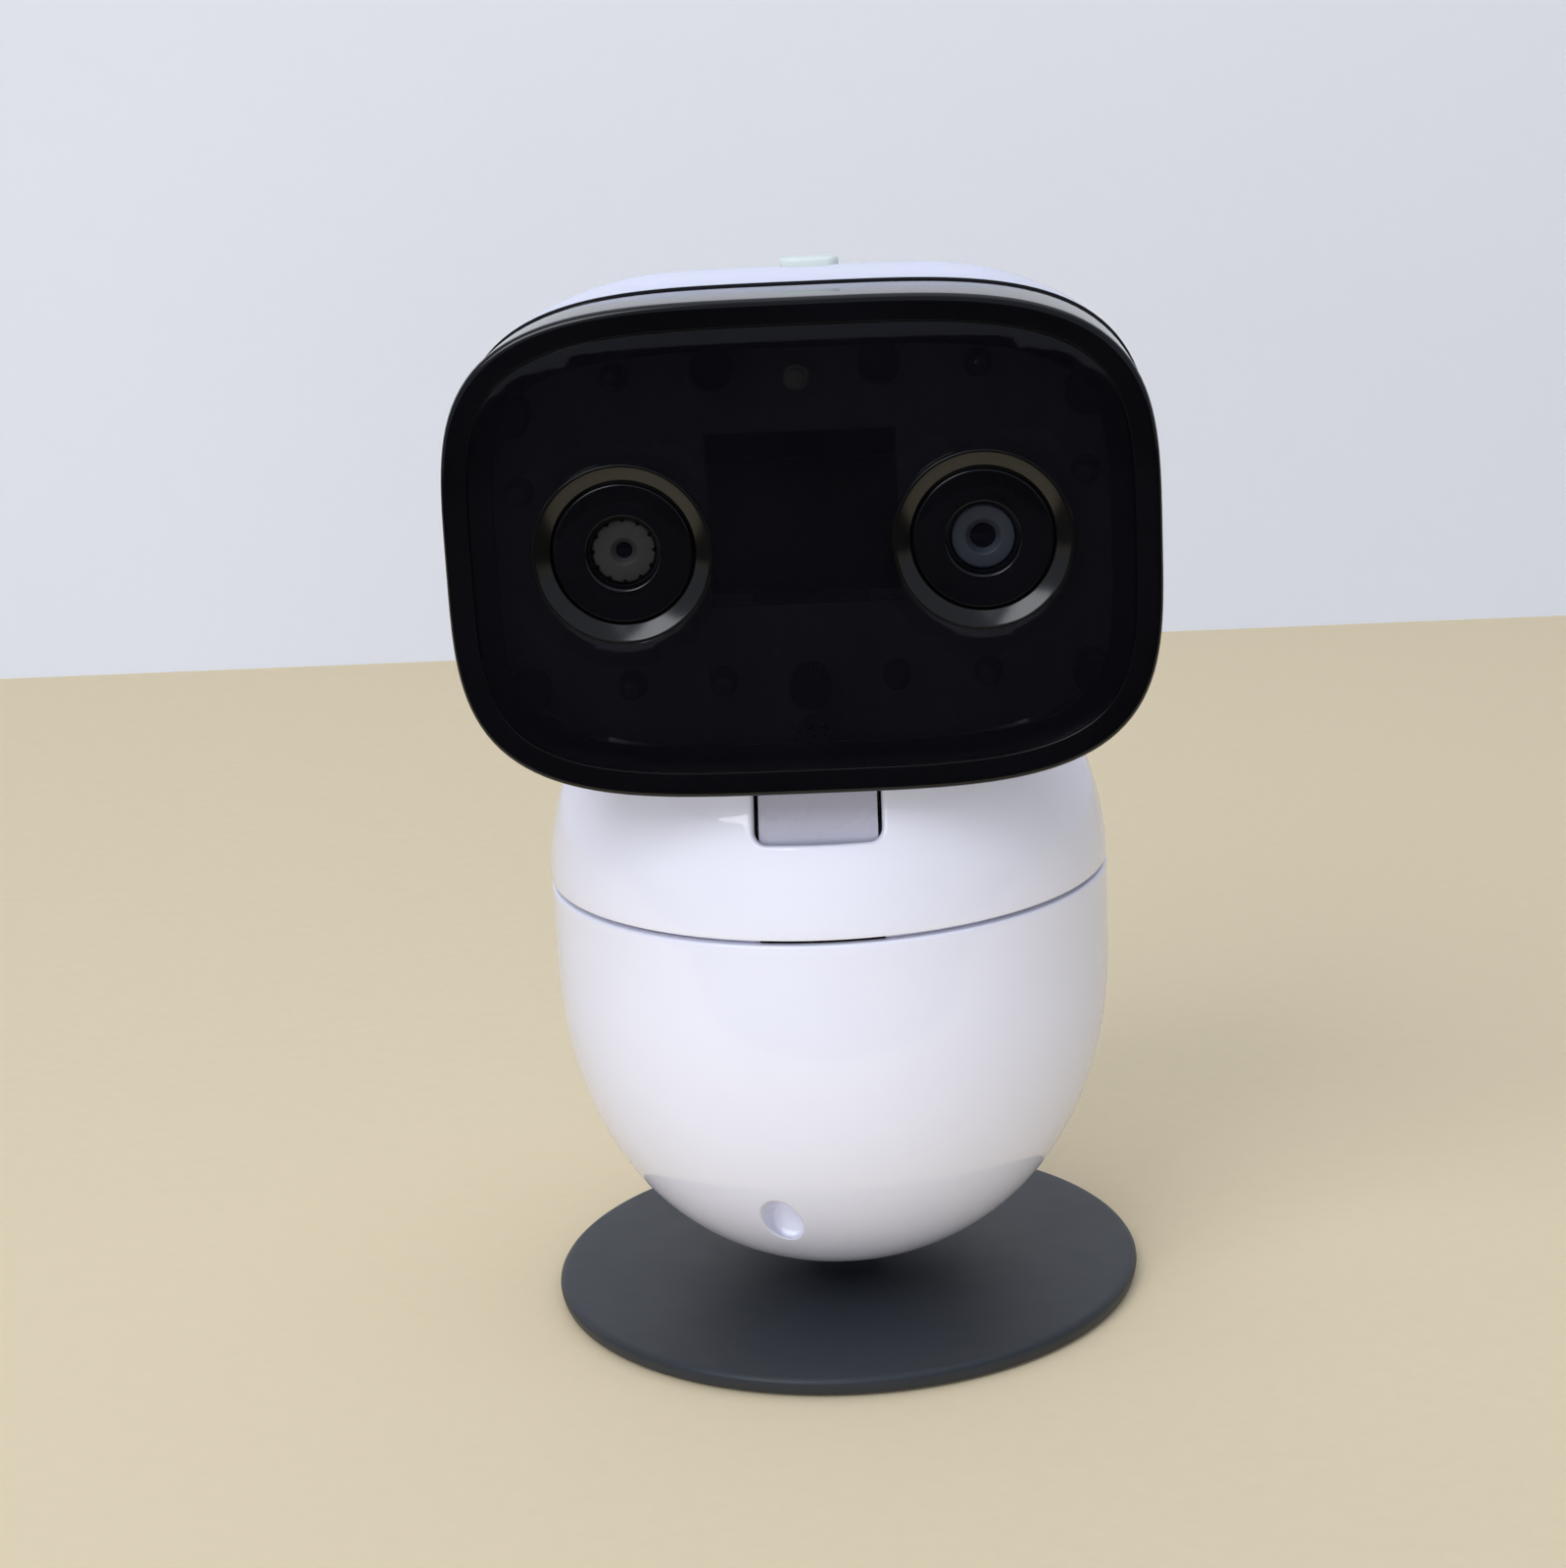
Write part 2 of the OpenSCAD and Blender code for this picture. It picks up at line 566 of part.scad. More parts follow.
// outside of the back shell: the head's outline with a crowned top and a domed rear
module back_form(t) {
  intersection() {
    union() {
      head_prism(back_y + 0.05, rear_y + 5, 0.25 + t);
      intersection() {
        translate([0, 0, 2.8]) head_prism(back_y + 0.05, rear_y + 5, 1.2 + t);
        translate([-60, back_y, head_z]) cube([120, 60, 60]);
      }
    }
    translate([0, rear_y - 135 - t, head_z]) sphere(r = 135, $fn = big);
    translate([0, back_y - 12, 0]) linear_extrude(200)
      polygon([[-44.4 + t, 0], [44.4 - t, 0], [44.4 - t, 17], [43.2 - t, 21], [39 - t, 24.8],
               [33 - t, 27], [-33 + t, 27], [-39 + t, 24.8], [-43.2 + t, 21], [-44.4 + t, 17]]);
  }
}

module head_back_shell() color(white) difference() {
  union() {
    difference() {
      back_form(0);
      intersection() {
        back_form(1.7);
        translate([-60, -60, 0]) cube([120, 60 + rear_y - 1.7, 200]);
      }
      translate([-60, -60, 0]) cube([120, 60 + back_y + 0.04, 200]);
    }
    intersection() {
      back_form(0.6);
      for (p = head_screw_at) yrod(p[0], head_z + p[1], back_y + 0.1, 0, 3.4);
    }
  }
  dome_gap();
  translate([-neck_w / 2 - 0.4, -33.5, 60]) cube([neck_w + 0.8, 36, 39.2]);
  for (p = head_screw_at) {
    yrod(p[0], head_z + p[1], -60, 10, 1.2);
    yrod(p[0], head_z + p[1], rear_y - 5.6, 10, 2.3);
  }
  translate([0, 0, 0]) button_form(0.35, -20, 20);
  for (i = [-3 : 3]) translate([i * 4.5 - 1, rear_y - 6, head_z - 3]) cube([2, 12, 0.9]);
}

module head_screws() color(steel) for (p = head_screw_at) {
  yrod(p[0], head_z + p[1], back_y - 4, rear_y - 5, 1.05);
  yrod(p[0], head_z + p[1], rear_y - 5.55, rear_y - 4.1, 2.1);
}

// pill shape of the top button, grown by g, from z0 to z1 around the shell's top
module button_form(g, z0, z1) {
  translate([button_x, button_y, top_z + z0]) linear_extrude(z1 - z0) union() {
    square([3.9, 3.7 + 2 * g], center = true);
    for (x = [-1, 1]) translate([x * 1.95, 0]) circle(r = 1.85 + g, $fn = sml);
  }
}

module top_button() color([0.86, 0.93, 0.88]) {
  button_form(0, -2.2, 0.8);
  button_form(-0.3, 0.75, 1.1);
  translate([button_x, button_y, head_z + 23.2]) cylinder(h = 8, r = 1.2, $fn = sml);
  button_form(0.9, -3.4, -2.1);
}

// ---- drawing ------------------------------------------------------------

base_disc();
foot_ring();
base_weight();
stand_stem();
stem_washer();
stem_screw();
lower_shell();
stem_cradle();
cradle_cap();
cradle_screws();
main_board();
board_screws();
board_chips();
dc_jack();
speaker();
body_deck();
deck_screws();
pan_gear();
bearing_washer();
spindle_ring();
dome_shell();
turret_frame();
dome_screws();
tilt_axle();
pan_motor();
tilt_motor();
pan_pinion();
tilt_pinion();
neck_drum();
tilt_gear();
head_bezel();
face_window();
eye_ring_left();
eye_ring_right();
eye_disc_left();
eye_disc_right();
lens_barrel_left();
lens_barrel_right();
lens_glass_left();
lens_glass_right();
sensor_board();
lens_holders();
led_board();
ir_leds();
window_posts();
light_sensor();
microphone();
head_board();
head_chips();
button_switch();
head_back_shell();
head_screws();
top_button();
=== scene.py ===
"""Looks of a baby monitor camera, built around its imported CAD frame.

Shapes are worked out in millimetres and written to the meshes in metres.
"""
import json
import math

import bmesh
import bpy
from mathutils import Matrix, Vector
from mathutils.geometry import delaunay_2d_cdt


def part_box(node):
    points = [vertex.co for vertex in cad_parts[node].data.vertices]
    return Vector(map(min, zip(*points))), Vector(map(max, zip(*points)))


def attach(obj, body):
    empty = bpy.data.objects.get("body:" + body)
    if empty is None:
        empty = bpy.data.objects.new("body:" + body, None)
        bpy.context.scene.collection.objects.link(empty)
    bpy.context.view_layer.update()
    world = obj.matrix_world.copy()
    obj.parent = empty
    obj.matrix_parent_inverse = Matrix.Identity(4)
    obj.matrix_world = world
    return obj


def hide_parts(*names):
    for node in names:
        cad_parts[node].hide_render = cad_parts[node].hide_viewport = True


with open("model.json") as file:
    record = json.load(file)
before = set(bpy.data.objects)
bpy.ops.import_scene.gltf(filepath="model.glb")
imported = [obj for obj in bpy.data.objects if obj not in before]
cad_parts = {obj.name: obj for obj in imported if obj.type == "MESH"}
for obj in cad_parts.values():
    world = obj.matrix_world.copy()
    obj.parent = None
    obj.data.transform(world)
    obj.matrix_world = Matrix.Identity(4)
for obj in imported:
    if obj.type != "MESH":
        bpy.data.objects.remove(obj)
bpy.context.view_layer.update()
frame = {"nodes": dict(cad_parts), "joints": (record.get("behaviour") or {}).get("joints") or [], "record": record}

MM = 0.001
scene = bpy.context.scene


def corners(node):
    """Lowest and highest corner of a CAD node, in millimetres."""
    low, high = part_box(node)
    return low / MM, high / MM


def middle(node):
    low, high = corners(node)
    return (low + high) / 2


# ---- driving sizes, from the frame ----------------------------------------

JOINTS = {joint["name"]: joint for joint in frame["joints"]}

# The lean axis lies across the fixed body, so it shows how far the body is turned.
LEAN_AXIS = JOINTS["stand_lean"]["axis"]
TURN = math.atan2(-LEAN_AXIS[1], LEAN_AXIS[0])

DISC_R = round(corners("base_disc")[1].x, 1)
BODY_R = round(corners("lower_shell")[1].x, 1)
SHELL_TOP = corners("lower_shell")[1].z
SEAM_Z = JOINTS["tilt"]["pos_m"][2] / MM
HEAD_A = round(corners("head_bezel")[1].x, 1)
FACE_Y = round(corners("head_bezel")[0].y, 1)
JOIN_Y = round(corners("head_bezel")[1].y, 1)
REAR_Y = round(corners("head_back_shell")[1].y, 1)
HEAD_TOP = corners("head_bezel")[1].z
EYE_X = round(middle("eye_ring_right").x, 1)
EYE_Z = middle("eye_ring_right").z
HEAD_Z = EYE_Z - 0.5
HEAD_B = round(HEAD_TOP - HEAD_Z, 1)
CROWN_TOP = corners("head_back_shell")[1].z
NECK_HALF = corners("neck_drum")[1].x

# Dome's wall, and the slot for the neck in it.
DOME_WALL = 1.5
SLOT_HALF = 8.5
SLOT_LOW = 75.0
SLOT_BACK = 8.6

# Egg below EGG_Z, EGG_H deep, with EGG_N as the exponent of its curve; straight wall above it.
EGG_Z = 51.2
EGG_H = 46.0
EGG_N = 2.2
STRAIGHT_PER_RADIAN = 40
EGG_WALL = 1.6

# Blind hole in the front of the lower shell.
HOLE_Z = 20.5
HOLE_R = 2.8
HOLE_DEEP = 5.0
HOLE_RISE = math.radians(18)


# ---- small geometry helpers -----------------------------------------------

def power(value, exponent):
    return math.copysign(abs(value) ** exponent, value)


def soften(points, steps=5):
    """A line of (x, y, cut) corners; each corner with a cut over 0 is rounded, cut away from the corner."""
    line = []
    for k, (x, y, cut) in enumerate(points):
        here = Vector((x, y))
        if cut <= 0:
            line.append((x, y))
            continue
        before = Vector(points[k - 1][:2])
        after = Vector(points[(k + 1) % len(points)][:2])
        start = here + (before - here).normalized() * cut
        end = here + (after - here).normalized() * cut
        for s in range(steps + 1):
            t = s / steps
            spot = start * (1 - t) ** 2 + here * 2 * t * (1 - t) + end * t ** 2
            line.append((spot.x, spot.y))
    return line


def bridge(a, b):
    """Faces between two closed rings of vertex numbers; a ring of one vertex is a pole."""
    count = max(len(a), len(b))
    if len(a) == 1:
        return [(a[0], b[(k + 1) % count], b[k]) for k in range(count)]
    if len(b) == 1:
        return [(a[k], a[(k + 1) % count], b[0]) for k in range(count)]
    return [(a[k], a[(k + 1) % count], b[(k + 1) % count], b[k]) for k in range(count)]


class Shape:
    """Vertices and faces gathered for one mesh."""

    def __init__(self):
        self.verts = []
        self.faces = []

    def ring(self, points):
        first = len(self.verts)
        self.verts += [tuple(p) for p in points]
        return list(range(first, len(self.verts)))

    def loft(self, rings, closed):
        numbers = [self.ring(r) for r in rings]
        pairs = list(zip(numbers, numbers[1:]))
        if closed:
            pairs.append((numbers[-1], numbers[0]))
        for a, b in pairs:
            self.faces += bridge(a, b)
        return numbers

    def revolve(self, profile, columns, place):
        """Turns (radius, height) points round; a line that starts and ends on the axis has poles."""
        rings = []
        for radius, height in profile:
            if radius < 1e-6:
                rings.append([place(0, 0, height)])
            else:
                turn = 2 * math.pi / columns
                rings.append([place(radius * math.cos(turn * k), radius * math.sin(turn * k), height)
                              for k in range(columns)])
        open_ended = len(rings[0]) == 1 or len(rings[-1]) == 1
        return self.loft(rings, not open_ended)


def add_mesh(name, shape, material, sharp=32):
    mesh = bpy.data.meshes.new(name)
    mesh.from_pydata([(x * MM, y * MM, z * MM) for x, y, z in shape.verts], [], shape.faces)
    tidy = bmesh.new()
    tidy.from_mesh(mesh)
    bmesh.ops.recalc_face_normals(tidy, faces=tidy.faces)
    tidy.to_mesh(mesh)
    tidy.free()
    mesh.validate()
    mesh.polygons.foreach_set("use_smooth", [True] * len(mesh.polygons))
    mesh.set_sharp_from_angle(angle=math.radians(sharp))
    mesh.materials.append(material)
    piece = bpy.data.objects.new(name, mesh)
    scene.collection.objects.link(piece)
    return piece


def settle(piece, body, slot, *nodes):
    """Puts a finished piece under its CAD body and hides the CAD nodes that it stands for; slot is not used."""
    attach(piece, body)
    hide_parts(*nodes)
    return piece


def cut_away(piece, cutter):
    """Takes the cutter's solid out of the piece and removes the cutter."""
    step = piece.modifiers.new("cut", "BOOLEAN")
    step.operation = "DIFFERENCE"
    step.solver = "EXACT"
    step.object = cutter
    bpy.context.view_layer.update()
    result = piece.evaluated_get(bpy.context.evaluated_depsgraph_get())
    mesh = bpy.data.meshes.new_from_object(result)
    old = piece.data
    piece.modifiers.clear()
    piece.data = mesh
    mesh.name = old.name
    bpy.data.meshes.remove(old)
    bpy.data.objects.remove(cutter)
    mesh.polygons.foreach_set("use_smooth", [True] * len(mesh.polygons))
    mesh.set_sharp_from_angle(angle=math.radians(32))


def about_z(u, v, h):
    return (u, v, h)


def about_y(x, z):
    """Placer for shapes turned about a line along Y through (x, z)."""
    return lambda u, v, h: (x + u, h, z + v)


def turned(point):
    """A point of the fixed body, whose front is turned sideways by TURN."""
    x, y, z = point
    return (x * math.cos(TURN) + y * math.sin(TURN), y * math.cos(TURN) - x * math.sin(TURN), z)


def inside(point, loop):
    """Whether a flat point lies inside a closed loop."""
    found = False
    x, y = point
    for k, (x1, y1) in enumerate(loop):
        x0, y0 = loop[k - 1]
        if (y0 > y) != (y1 > y) and x < (x1 - x0) * (y - y0) / (y1 - y0) + x0:
            found = not found
    return found


def fill(loops, step):
    """Flat triangles between the first loop and the others, with an even net of points step apart."""
    points = [Vector(p) for loop in loops for p in loop]
    edges = []
    first = 0
    for loop in loops:
        edges += [(first + k, first + (k + 1) % len(loop)) for k in range(len(loop))]
        first += len(loop)
    xs = [p[0] for p in loops[0]]
    ys = [p[1] for p in loops[0]]
    rows = int((max(ys) - min(ys)) / (step * 0.866)) + 2
    columns = int((max(xs) - min(xs)) / step) + 2
    near = (step * 0.55) ** 2
    rim = list(points)
    for j in range(rows):
        for i in range(columns):
            spot = (min(xs) + (i + 0.5 * (j % 2)) * step, min(ys) + j * step * 0.866)
            if not inside(spot, loops[0]) or any(inside(spot, loop) for loop in loops[1:]):
                continue
            if min((spot[0] - p.x) ** 2 + (spot[1] - p.y) ** 2 for p in rim) > near:
                points.append(Vector(spot))
    result = delaunay_2d_cdt(points, edges, [], 0, 1e-7)
    source = [min(names) for names in result[3]]
    flat = [points[k] for k in source]
    faces = []
    for face in result[2]:
        centre = sum((flat[k] for k in face), Vector((0, 0))) / len(face)
        if inside(centre, loops[0]) and not any(inside(centre, loop) for loop in loops[1:]):
            faces.append(tuple(source[k] for k in face))
    return points, faces, [len(loop) for loop in loops]


def rim_rings(outer, normals, inward, cut, thickness, steps=5):
    """Rings that round the edge of a shell between its outer and inner loop."""
    count = len(outer)
    away = []
    for k in range(count):
        along = outer[(k + 1) % count] - outer[k - 1]
        side = along.cross(normals[k]).normalized()
        away.append(side * inward)
    rings = []
    for s in range(1, steps + 1):
        a = math.pi / 2 * s / steps
        rings.append([p - n * cut + (n * math.cos(a) + w * math.sin(a)) * cut
                      for p, n, w in zip(outer, normals, away)])
    rings.append([p - n * (thickness - cut * 0.5) + w * cut for p, n, w in zip(outer, normals, away)])
    return rings


# ---- materials --------------------------------------------------------------

def new_material(name):
    material = bpy.data.materials.new(name)
    material.use_nodes = True
    tree = material.node_tree
    return material, tree, tree.nodes["Principled BSDF"]


def noise(tree, size_mm, detail=3.0):
    """Noise whose features are about size_mm wide, laid in the object's own space."""
    place = tree.nodes.new("ShaderNodeTexCoord")
    texture = tree.nodes.new("ShaderNodeTexNoise")
    texture.inputs["Scale"].default_value = 1 / (size_mm * MM)
    texture.inputs["Detail"].default_value = detail
    texture.inputs["Roughness"].default_value = 0.5
    tree.links.new(place.outputs["Object"], texture.inputs["Vector"])
    return texture


def ramp(tree, source, low, high):
    """Spreads the middle of a noise's range over low to high."""
    node = tree.nodes.new("ShaderNodeMapRange")
    node.inputs["From Min"].default_value = 0.35
    node.inputs["From Max"].default_value = 0.65
    node.inputs["To Min"].default_value = low
    node.inputs["To Max"].default_value = high
    tree.links.new(source.outputs["Fac"], node.inputs["Value"])
    return node


def tint(tree, source, dark, light, target):
    """Feeds a socket a colour that drifts between dark and light with a noise."""
    node = tree.nodes.new("ShaderNodeValToRGB")
    node.color_ramp.elements[0].position = 0.3
    node.color_ramp.elements[0].color = (*dark, 1)
    node.color_ramp.elements[1].position = 0.7
    node.color_ramp.elements[1].color = (*light, 1)
    tree.links.new(source.outputs["Fac"], node.inputs["Fac"])
    tree.links.new(node.outputs["Color"], target)


def bump(tree, shader, source, height_mm):
    node = tree.nodes.new("ShaderNodeBump")
    node.inputs["Strength"].default_value = 1.0
    node.inputs["Distance"].default_value = height_mm * MM
    tree.links.new(source.outputs["Fac"], node.inputs["Height"])
    tree.links.new(node.outputs["Normal"], shader.inputs["Normal"])


def moulded(name, color, spread, roughness, grain_mm, height_mm, ior=1.5):
    """Moulded plastic: slight colour drift, uneven gloss and a fine surface grain."""
    material, tree, shader = new_material(name)
    drift = noise(tree, 14.0, 2.0)
    dark = [c * (1 - spread) for c in color]
    light = [min(1.0, c * (1 + spread)) for c in color]
    tint(tree, drift, dark, light, shader.inputs["Base Color"])
    gloss = ramp(tree, noise(tree, 5.0, 4.0), roughness * 0.96, roughness * 1.04)
    tree.links.new(gloss.outputs["Result"], shader.inputs["Roughness"])
    bump(tree, shader, noise(tree, grain_mm, 2.0), height_mm)
    shader.inputs["IOR"].default_value = ior
    return material


def metal(name, color, roughness):
    """Turned steel with fine brushing."""
    material, tree, shader = new_material(name)
    shader.inputs["Metallic"].default_value = 1.0
    tint(tree, noise(tree, 3.0, 4.0), [c * 0.9 for c in color], color, shader.inputs["Base Color"])
    gloss = ramp(tree, noise(tree, 0.8, 5.0), roughness * 0.8, roughness * 1.25)
    tree.links.new(gloss.outputs["Result"], shader.inputs["Roughness"])
    bump(tree, shader, noise(tree, 0.3, 3.0), 0.004)
    return material


def board_finish(name, color, track):
    """Circuit board lacquer with faint copper tracks under it."""
    material, tree, shader = new_material(name)
    place = tree.nodes.new("ShaderNodeTexCoord")
    cells = tree.nodes.new("ShaderNodeTexBrick")
    cells.inputs["Scale"].default_value = 1 / (9 * MM)
    cells.inputs["Color1"].default_value = (*color, 1)
    cells.inputs["Color2"].default_value = (*[c * 0.8 for c in color], 1)
    cells.inputs["Mortar"].default_value = (*track, 1)
    cells.inputs["Mortar Size"].default_value = 0.02
    tree.links.new(place.outputs["Object"], cells.inputs["Vector"])
    tree.links.new(cells.outputs["Color"], shader.inputs["Base Color"])
    gloss = ramp(tree, noise(tree, 4.0), 0.3, 0.42)
    tree.links.new(gloss.outputs["Result"], shader.inputs["Roughness"])
    return material


def clear_resin(name, color, roughness):
    """Smooth cast resin of the lamps and the light sensor."""
    material, tree, shader = new_material(name)
    tint(tree, noise(tree, 1.2), [c * 0.85 for c in color], color, shader.inputs["Base Color"])
    gloss = ramp(tree, noise(tree, 0.8), roughness, roughness * 2)
    tree.links.new(gloss.outputs["Result"], shader.inputs["Roughness"])
    shader.inputs["IOR"].default_value = 1.5
    shader.inputs["Specular IOR Level"].default_value = 0.8
    return material


def smoked_panel(name):
    """Dark infrared window: glossy and mostly black, with a little of what lies behind showing."""
    material, tree, shader = new_material(name)
    tint(tree, noise(tree, 20.0), (0.0026, 0.0024, 0.004), (0.0034, 0.0030, 0.005),
         shader.inputs["Base Color"])
    gloss = ramp(tree, noise(tree, 6.0), 0.05, 0.08)
    tree.links.new(gloss.outputs["Result"], shader.inputs["Roughness"])
    bump(tree, shader, noise(tree, 9.0, 1.0), 0.002)
    shader.inputs["Alpha"].default_value = 0.64
    return material


# Name: colour, colour drift, roughness, grain size and grain height in mm, and the IOR where it isn't 1.5.
MOULDED = {
    "white_gloss": ((0.80, 0.805, 0.92), 0.008, 0.05, 0.5, 0.0002),
    # The neck finish below is the white gloss made darker and bluer: painted shade for the shadow that the head
    # casts on the neck.
    "neck_painted_shade": ((0.50, 0.49, 0.58), 0.012, 0.28, 0.5, 0.0006),
    "black_gloss": ((0.0024, 0.0023, 0.0034), 0.2, 0.07, 0.8, 0.0004, 1.43),
    "ring_gloss": ((0.0036, 0.0032, 0.0030), 0.2, 0.17, 0.8, 0.0004),
    "charcoal_plastic": ((0.019, 0.023, 0.030), 0.0, 0.48, 0.12, 0.002),
    "foot_rubber": ((0.012, 0.012, 0.014), 0.2, 0.75, 0.3, 0.02),
    "nylon": ((0.74, 0.71, 0.60), 0.04, 0.45, 0.35, 0.006),
    "dark_plastic": ((0.012, 0.012, 0.014), 0.2, 0.42, 0.25, 0.008),
    "barrel_dark": ((0.017, 0.016, 0.016), 0.15, 0.55, 0.2, 0.006),
    "barrel_grey": ((0.013, 0.016, 0.024), 0.1, 0.5, 0.2, 0.004),
    "button_white": ((0.80, 0.87, 0.82), 0.015, 0.3, 0.3, 0.002),
    "lens_glass": ((0.002, 0.002, 0.004), 0.1, 0.03, 0.8, 0.0001),
}

FINISH = {name: moulded(name, *values) for name, values in MOULDED.items()}
FINISH["steel"] = metal("steel", (0.56, 0.56, 0.58), 0.3)
FINISH["circuit_board"] = board_finish("circuit_board", (0.006, 0.020, 0.012), (0.010, 0.030, 0.018))
FINISH["black_board"] = board_finish("black_board", (0.13, 0.125, 0.16), (0.14, 0.135, 0.17))
FINISH["led_resin"] = clear_resin("led_resin", (0.05, 0.045, 0.06), 0.05)
FINISH["sensor_pale"] = clear_resin("sensor_pale", (0.42, 0.42, 0.38), 0.3)
FINISH["dark_window"] = smoked_panel("dark_window")

for part in frame["record"]["subparts"]:
    node_mesh = frame["nodes"][part["node"]].data
    node_mesh.materials.clear()
    # The neck drum gets the darker neck finish instead of its white gloss, as painted shade for the head's shadow.
    finish = "neck_painted_shade" if part["node"] == "neck_drum" else part["material_slot"]
    node_mesh.materials.append(FINISH.get(finish, FINISH["dark_plastic"]))


# ---- camera, light and setting ---------------------------------------------

CAMERA_AT = Vector((14.69, -410.31, 181.01)) * MM
CAMERA_AIM = Vector((1.65, 0.06, 73.88)) * MM
CAMERA_ROLL = -0.0472


def make_camera():
    data = bpy.data.cameras.new("camera")
    data.lens = 69.75
    data.sensor_width = 36
    data.shift_x = -0.0345
    data.shift_y = -0.0030
    data.clip_start = 0.02
    data.clip_end = 20
    camera = bpy.data.objects.new("camera", data)
    scene.collection.objects.link(camera)
    ahead = (CAMERA_AIM - CAMERA_AT).normalized()
    right = ahead.cross(Vector((0, 0, 1))).normalized()
    up = right.cross(ahead)
    c, s = math.cos(CAMERA_ROLL), math.sin(CAMERA_ROLL)
    tilted_right = right * c + up * s
    tilted_up = up * c - right * s
    camera.matrix_world = Matrix((
        (tilted_right.x, tilted_up.x, -ahead.x, CAMERA_AT.x),
        (tilted_right.y, tilted_up.y, -ahead.y, CAMERA_AT.y),
        (tilted_right.z, tilted_up.z, -ahead.z, CAMERA_AT.z),
        (0, 0, 0, 1)))
    scene.camera = camera


def soft_light(name, place, aim, width, height, power_w, color):
    data = bpy.data.lights.new(name, "AREA")
    data.shape = "RECTANGLE"
    data.size = width
    data.size_y = height
    data.energy = power_w
    data.color = color
    lamp = bpy.data.objects.new(name, data)
    scene.collection.objects.link(lamp)
    lamp.location = place
    lamp.rotation_mode = "QUATERNION"
    lamp.rotation_quaternion = (Vector(aim) - Vector(place)).to_track_quat("-Z", "Y")
    return lamp


def make_world():
    """Pale room, cool above and the table's tone below."""
    world = bpy.data.worlds.new("room")
    scene.world = world
    world.use_nodes = True
    tree = world.node_tree
    tree.nodes.clear()
    out = tree.nodes.new("ShaderNodeOutputWorld")
    back = tree.nodes.new("ShaderNodeBackground")
    place = tree.nodes.new("ShaderNodeTexCoord")
    split = tree.nodes.new("ShaderNodeSeparateXYZ")
    tree.links.new(place.outputs["Generated"], split.inputs["Vector"])
    height = tree.nodes.new("ShaderNodeValToRGB")
    height.color_ramp.elements[0].position = 0.0
    height.color_ramp.elements[0].color = (0.98, 0.88, 0.68, 1)
    height.color_ramp.elements[1].position = 1.0
    height.color_ramp.elements[1].color = (0.72, 0.82, 1.0, 1)
    low = height.color_ramp.elements.new(0.46)
    low.color = (0.90, 0.83, 0.67, 1)
    high = height.color_ramp.elements.new(0.54)
    high.color = (0.62, 0.68, 0.80, 1)
    scale = tree.nodes.new("ShaderNodeMath")
    scale.operation = "MULTIPLY_ADD"
    scale.inputs[1].default_value = 0.5
    scale.inputs[2].default_value = 0.5
    tree.links.new(split.outputs["Z"], scale.inputs[0])
    tree.links.new(scale.outputs[0], height.inputs["Fac"])
    tree.links.new(height.outputs["Color"], back.inputs["Color"])
    back.inputs["Strength"].default_value = 0.52
    tree.links.new(back.outputs["Background"], out.inputs["Surface"])


def stage_material(name, color, spread, roughness, grain_mm):
    material, tree, shader = new_material(name)
    tint(tree, noise(tree, grain_mm, 4.0), [c * (1 - spread) for c in color], color,
         shader.inputs["Base Color"])
    shader.inputs["Roughness"].default_value = roughness
    shader.inputs["Specular IOR Level"].default_value = 0.2
    return material


def stage_plane(name, points, material):
    mesh = bpy.data.meshes.new(name)
    mesh.from_pydata(points, [], [(0, 1, 2, 3)])
    mesh.materials.append(material)
    plane = bpy.data.objects.new(name, mesh)
    scene.collection.objects.link(plane)
    return plane


def level(half_x, y0, y1, z):
    """Corners of a level sheet."""
    return [(-half_x, y0, z), (half_x, y0, z), (half_x, y1, z), (-half_x, y1, z)]


def upright(half_x, y, top):
    """Corners of an upright sheet that stands on the table."""
    return [(-half_x, y, 0), (half_x, y, 0), (half_x, y, top), (-half_x, y, top)]


def make_stage():
    """Table, wall, and two black cards that show only as reflections."""
    wide, near, wall_y, tall = 3.0, -3.0, 0.434, 2.5
    stage_plane("table_top", level(wide, near, wall_y, 0),
                stage_material("table_cloth", (0.88, 0.735, 0.495), 0.02, 0.8, 3.0))
    stage_plane("wall", upright(wide, wall_y, tall),
                stage_material("wall_paint", (0.87, 0.90, 0.99), 0.005, 0.9, 60.0))
    black = stage_material("black_card", (0.012, 0.011, 0.014), 0.1, 0.9, 20.0)
    card_y = -0.8
    for card in (stage_plane("upright_card", upright(0.95, card_y, 0.17), black),
                 stage_plane("flat_card", level(1.8, card_y, -0.13, 0.001), black)):
        card.visible_camera = False
        card.visible_diffuse = False
        card.visible_shadow = False


def make_lights():
    soft_light("key", (-0.50, -0.85, 0.88), (0, 0, 0.08), 0.7, 0.55, 5.4, (0.92, 0.95, 1.0))
    front = soft_light("front", (-0.12, -0.85, 0.13), (0, 0, 0.05), 0.9, 0.25, 2.9, (0.92, 0.95, 1.0))
    front.visible_glossy = False
    soft_light("top", (0.1, -0.1, 1.5), (0, 0, 0.05), 1.6, 1.2, 4.0, (0.88, 0.93, 1.0))


# ---- stand ------------------------------------------------------------------

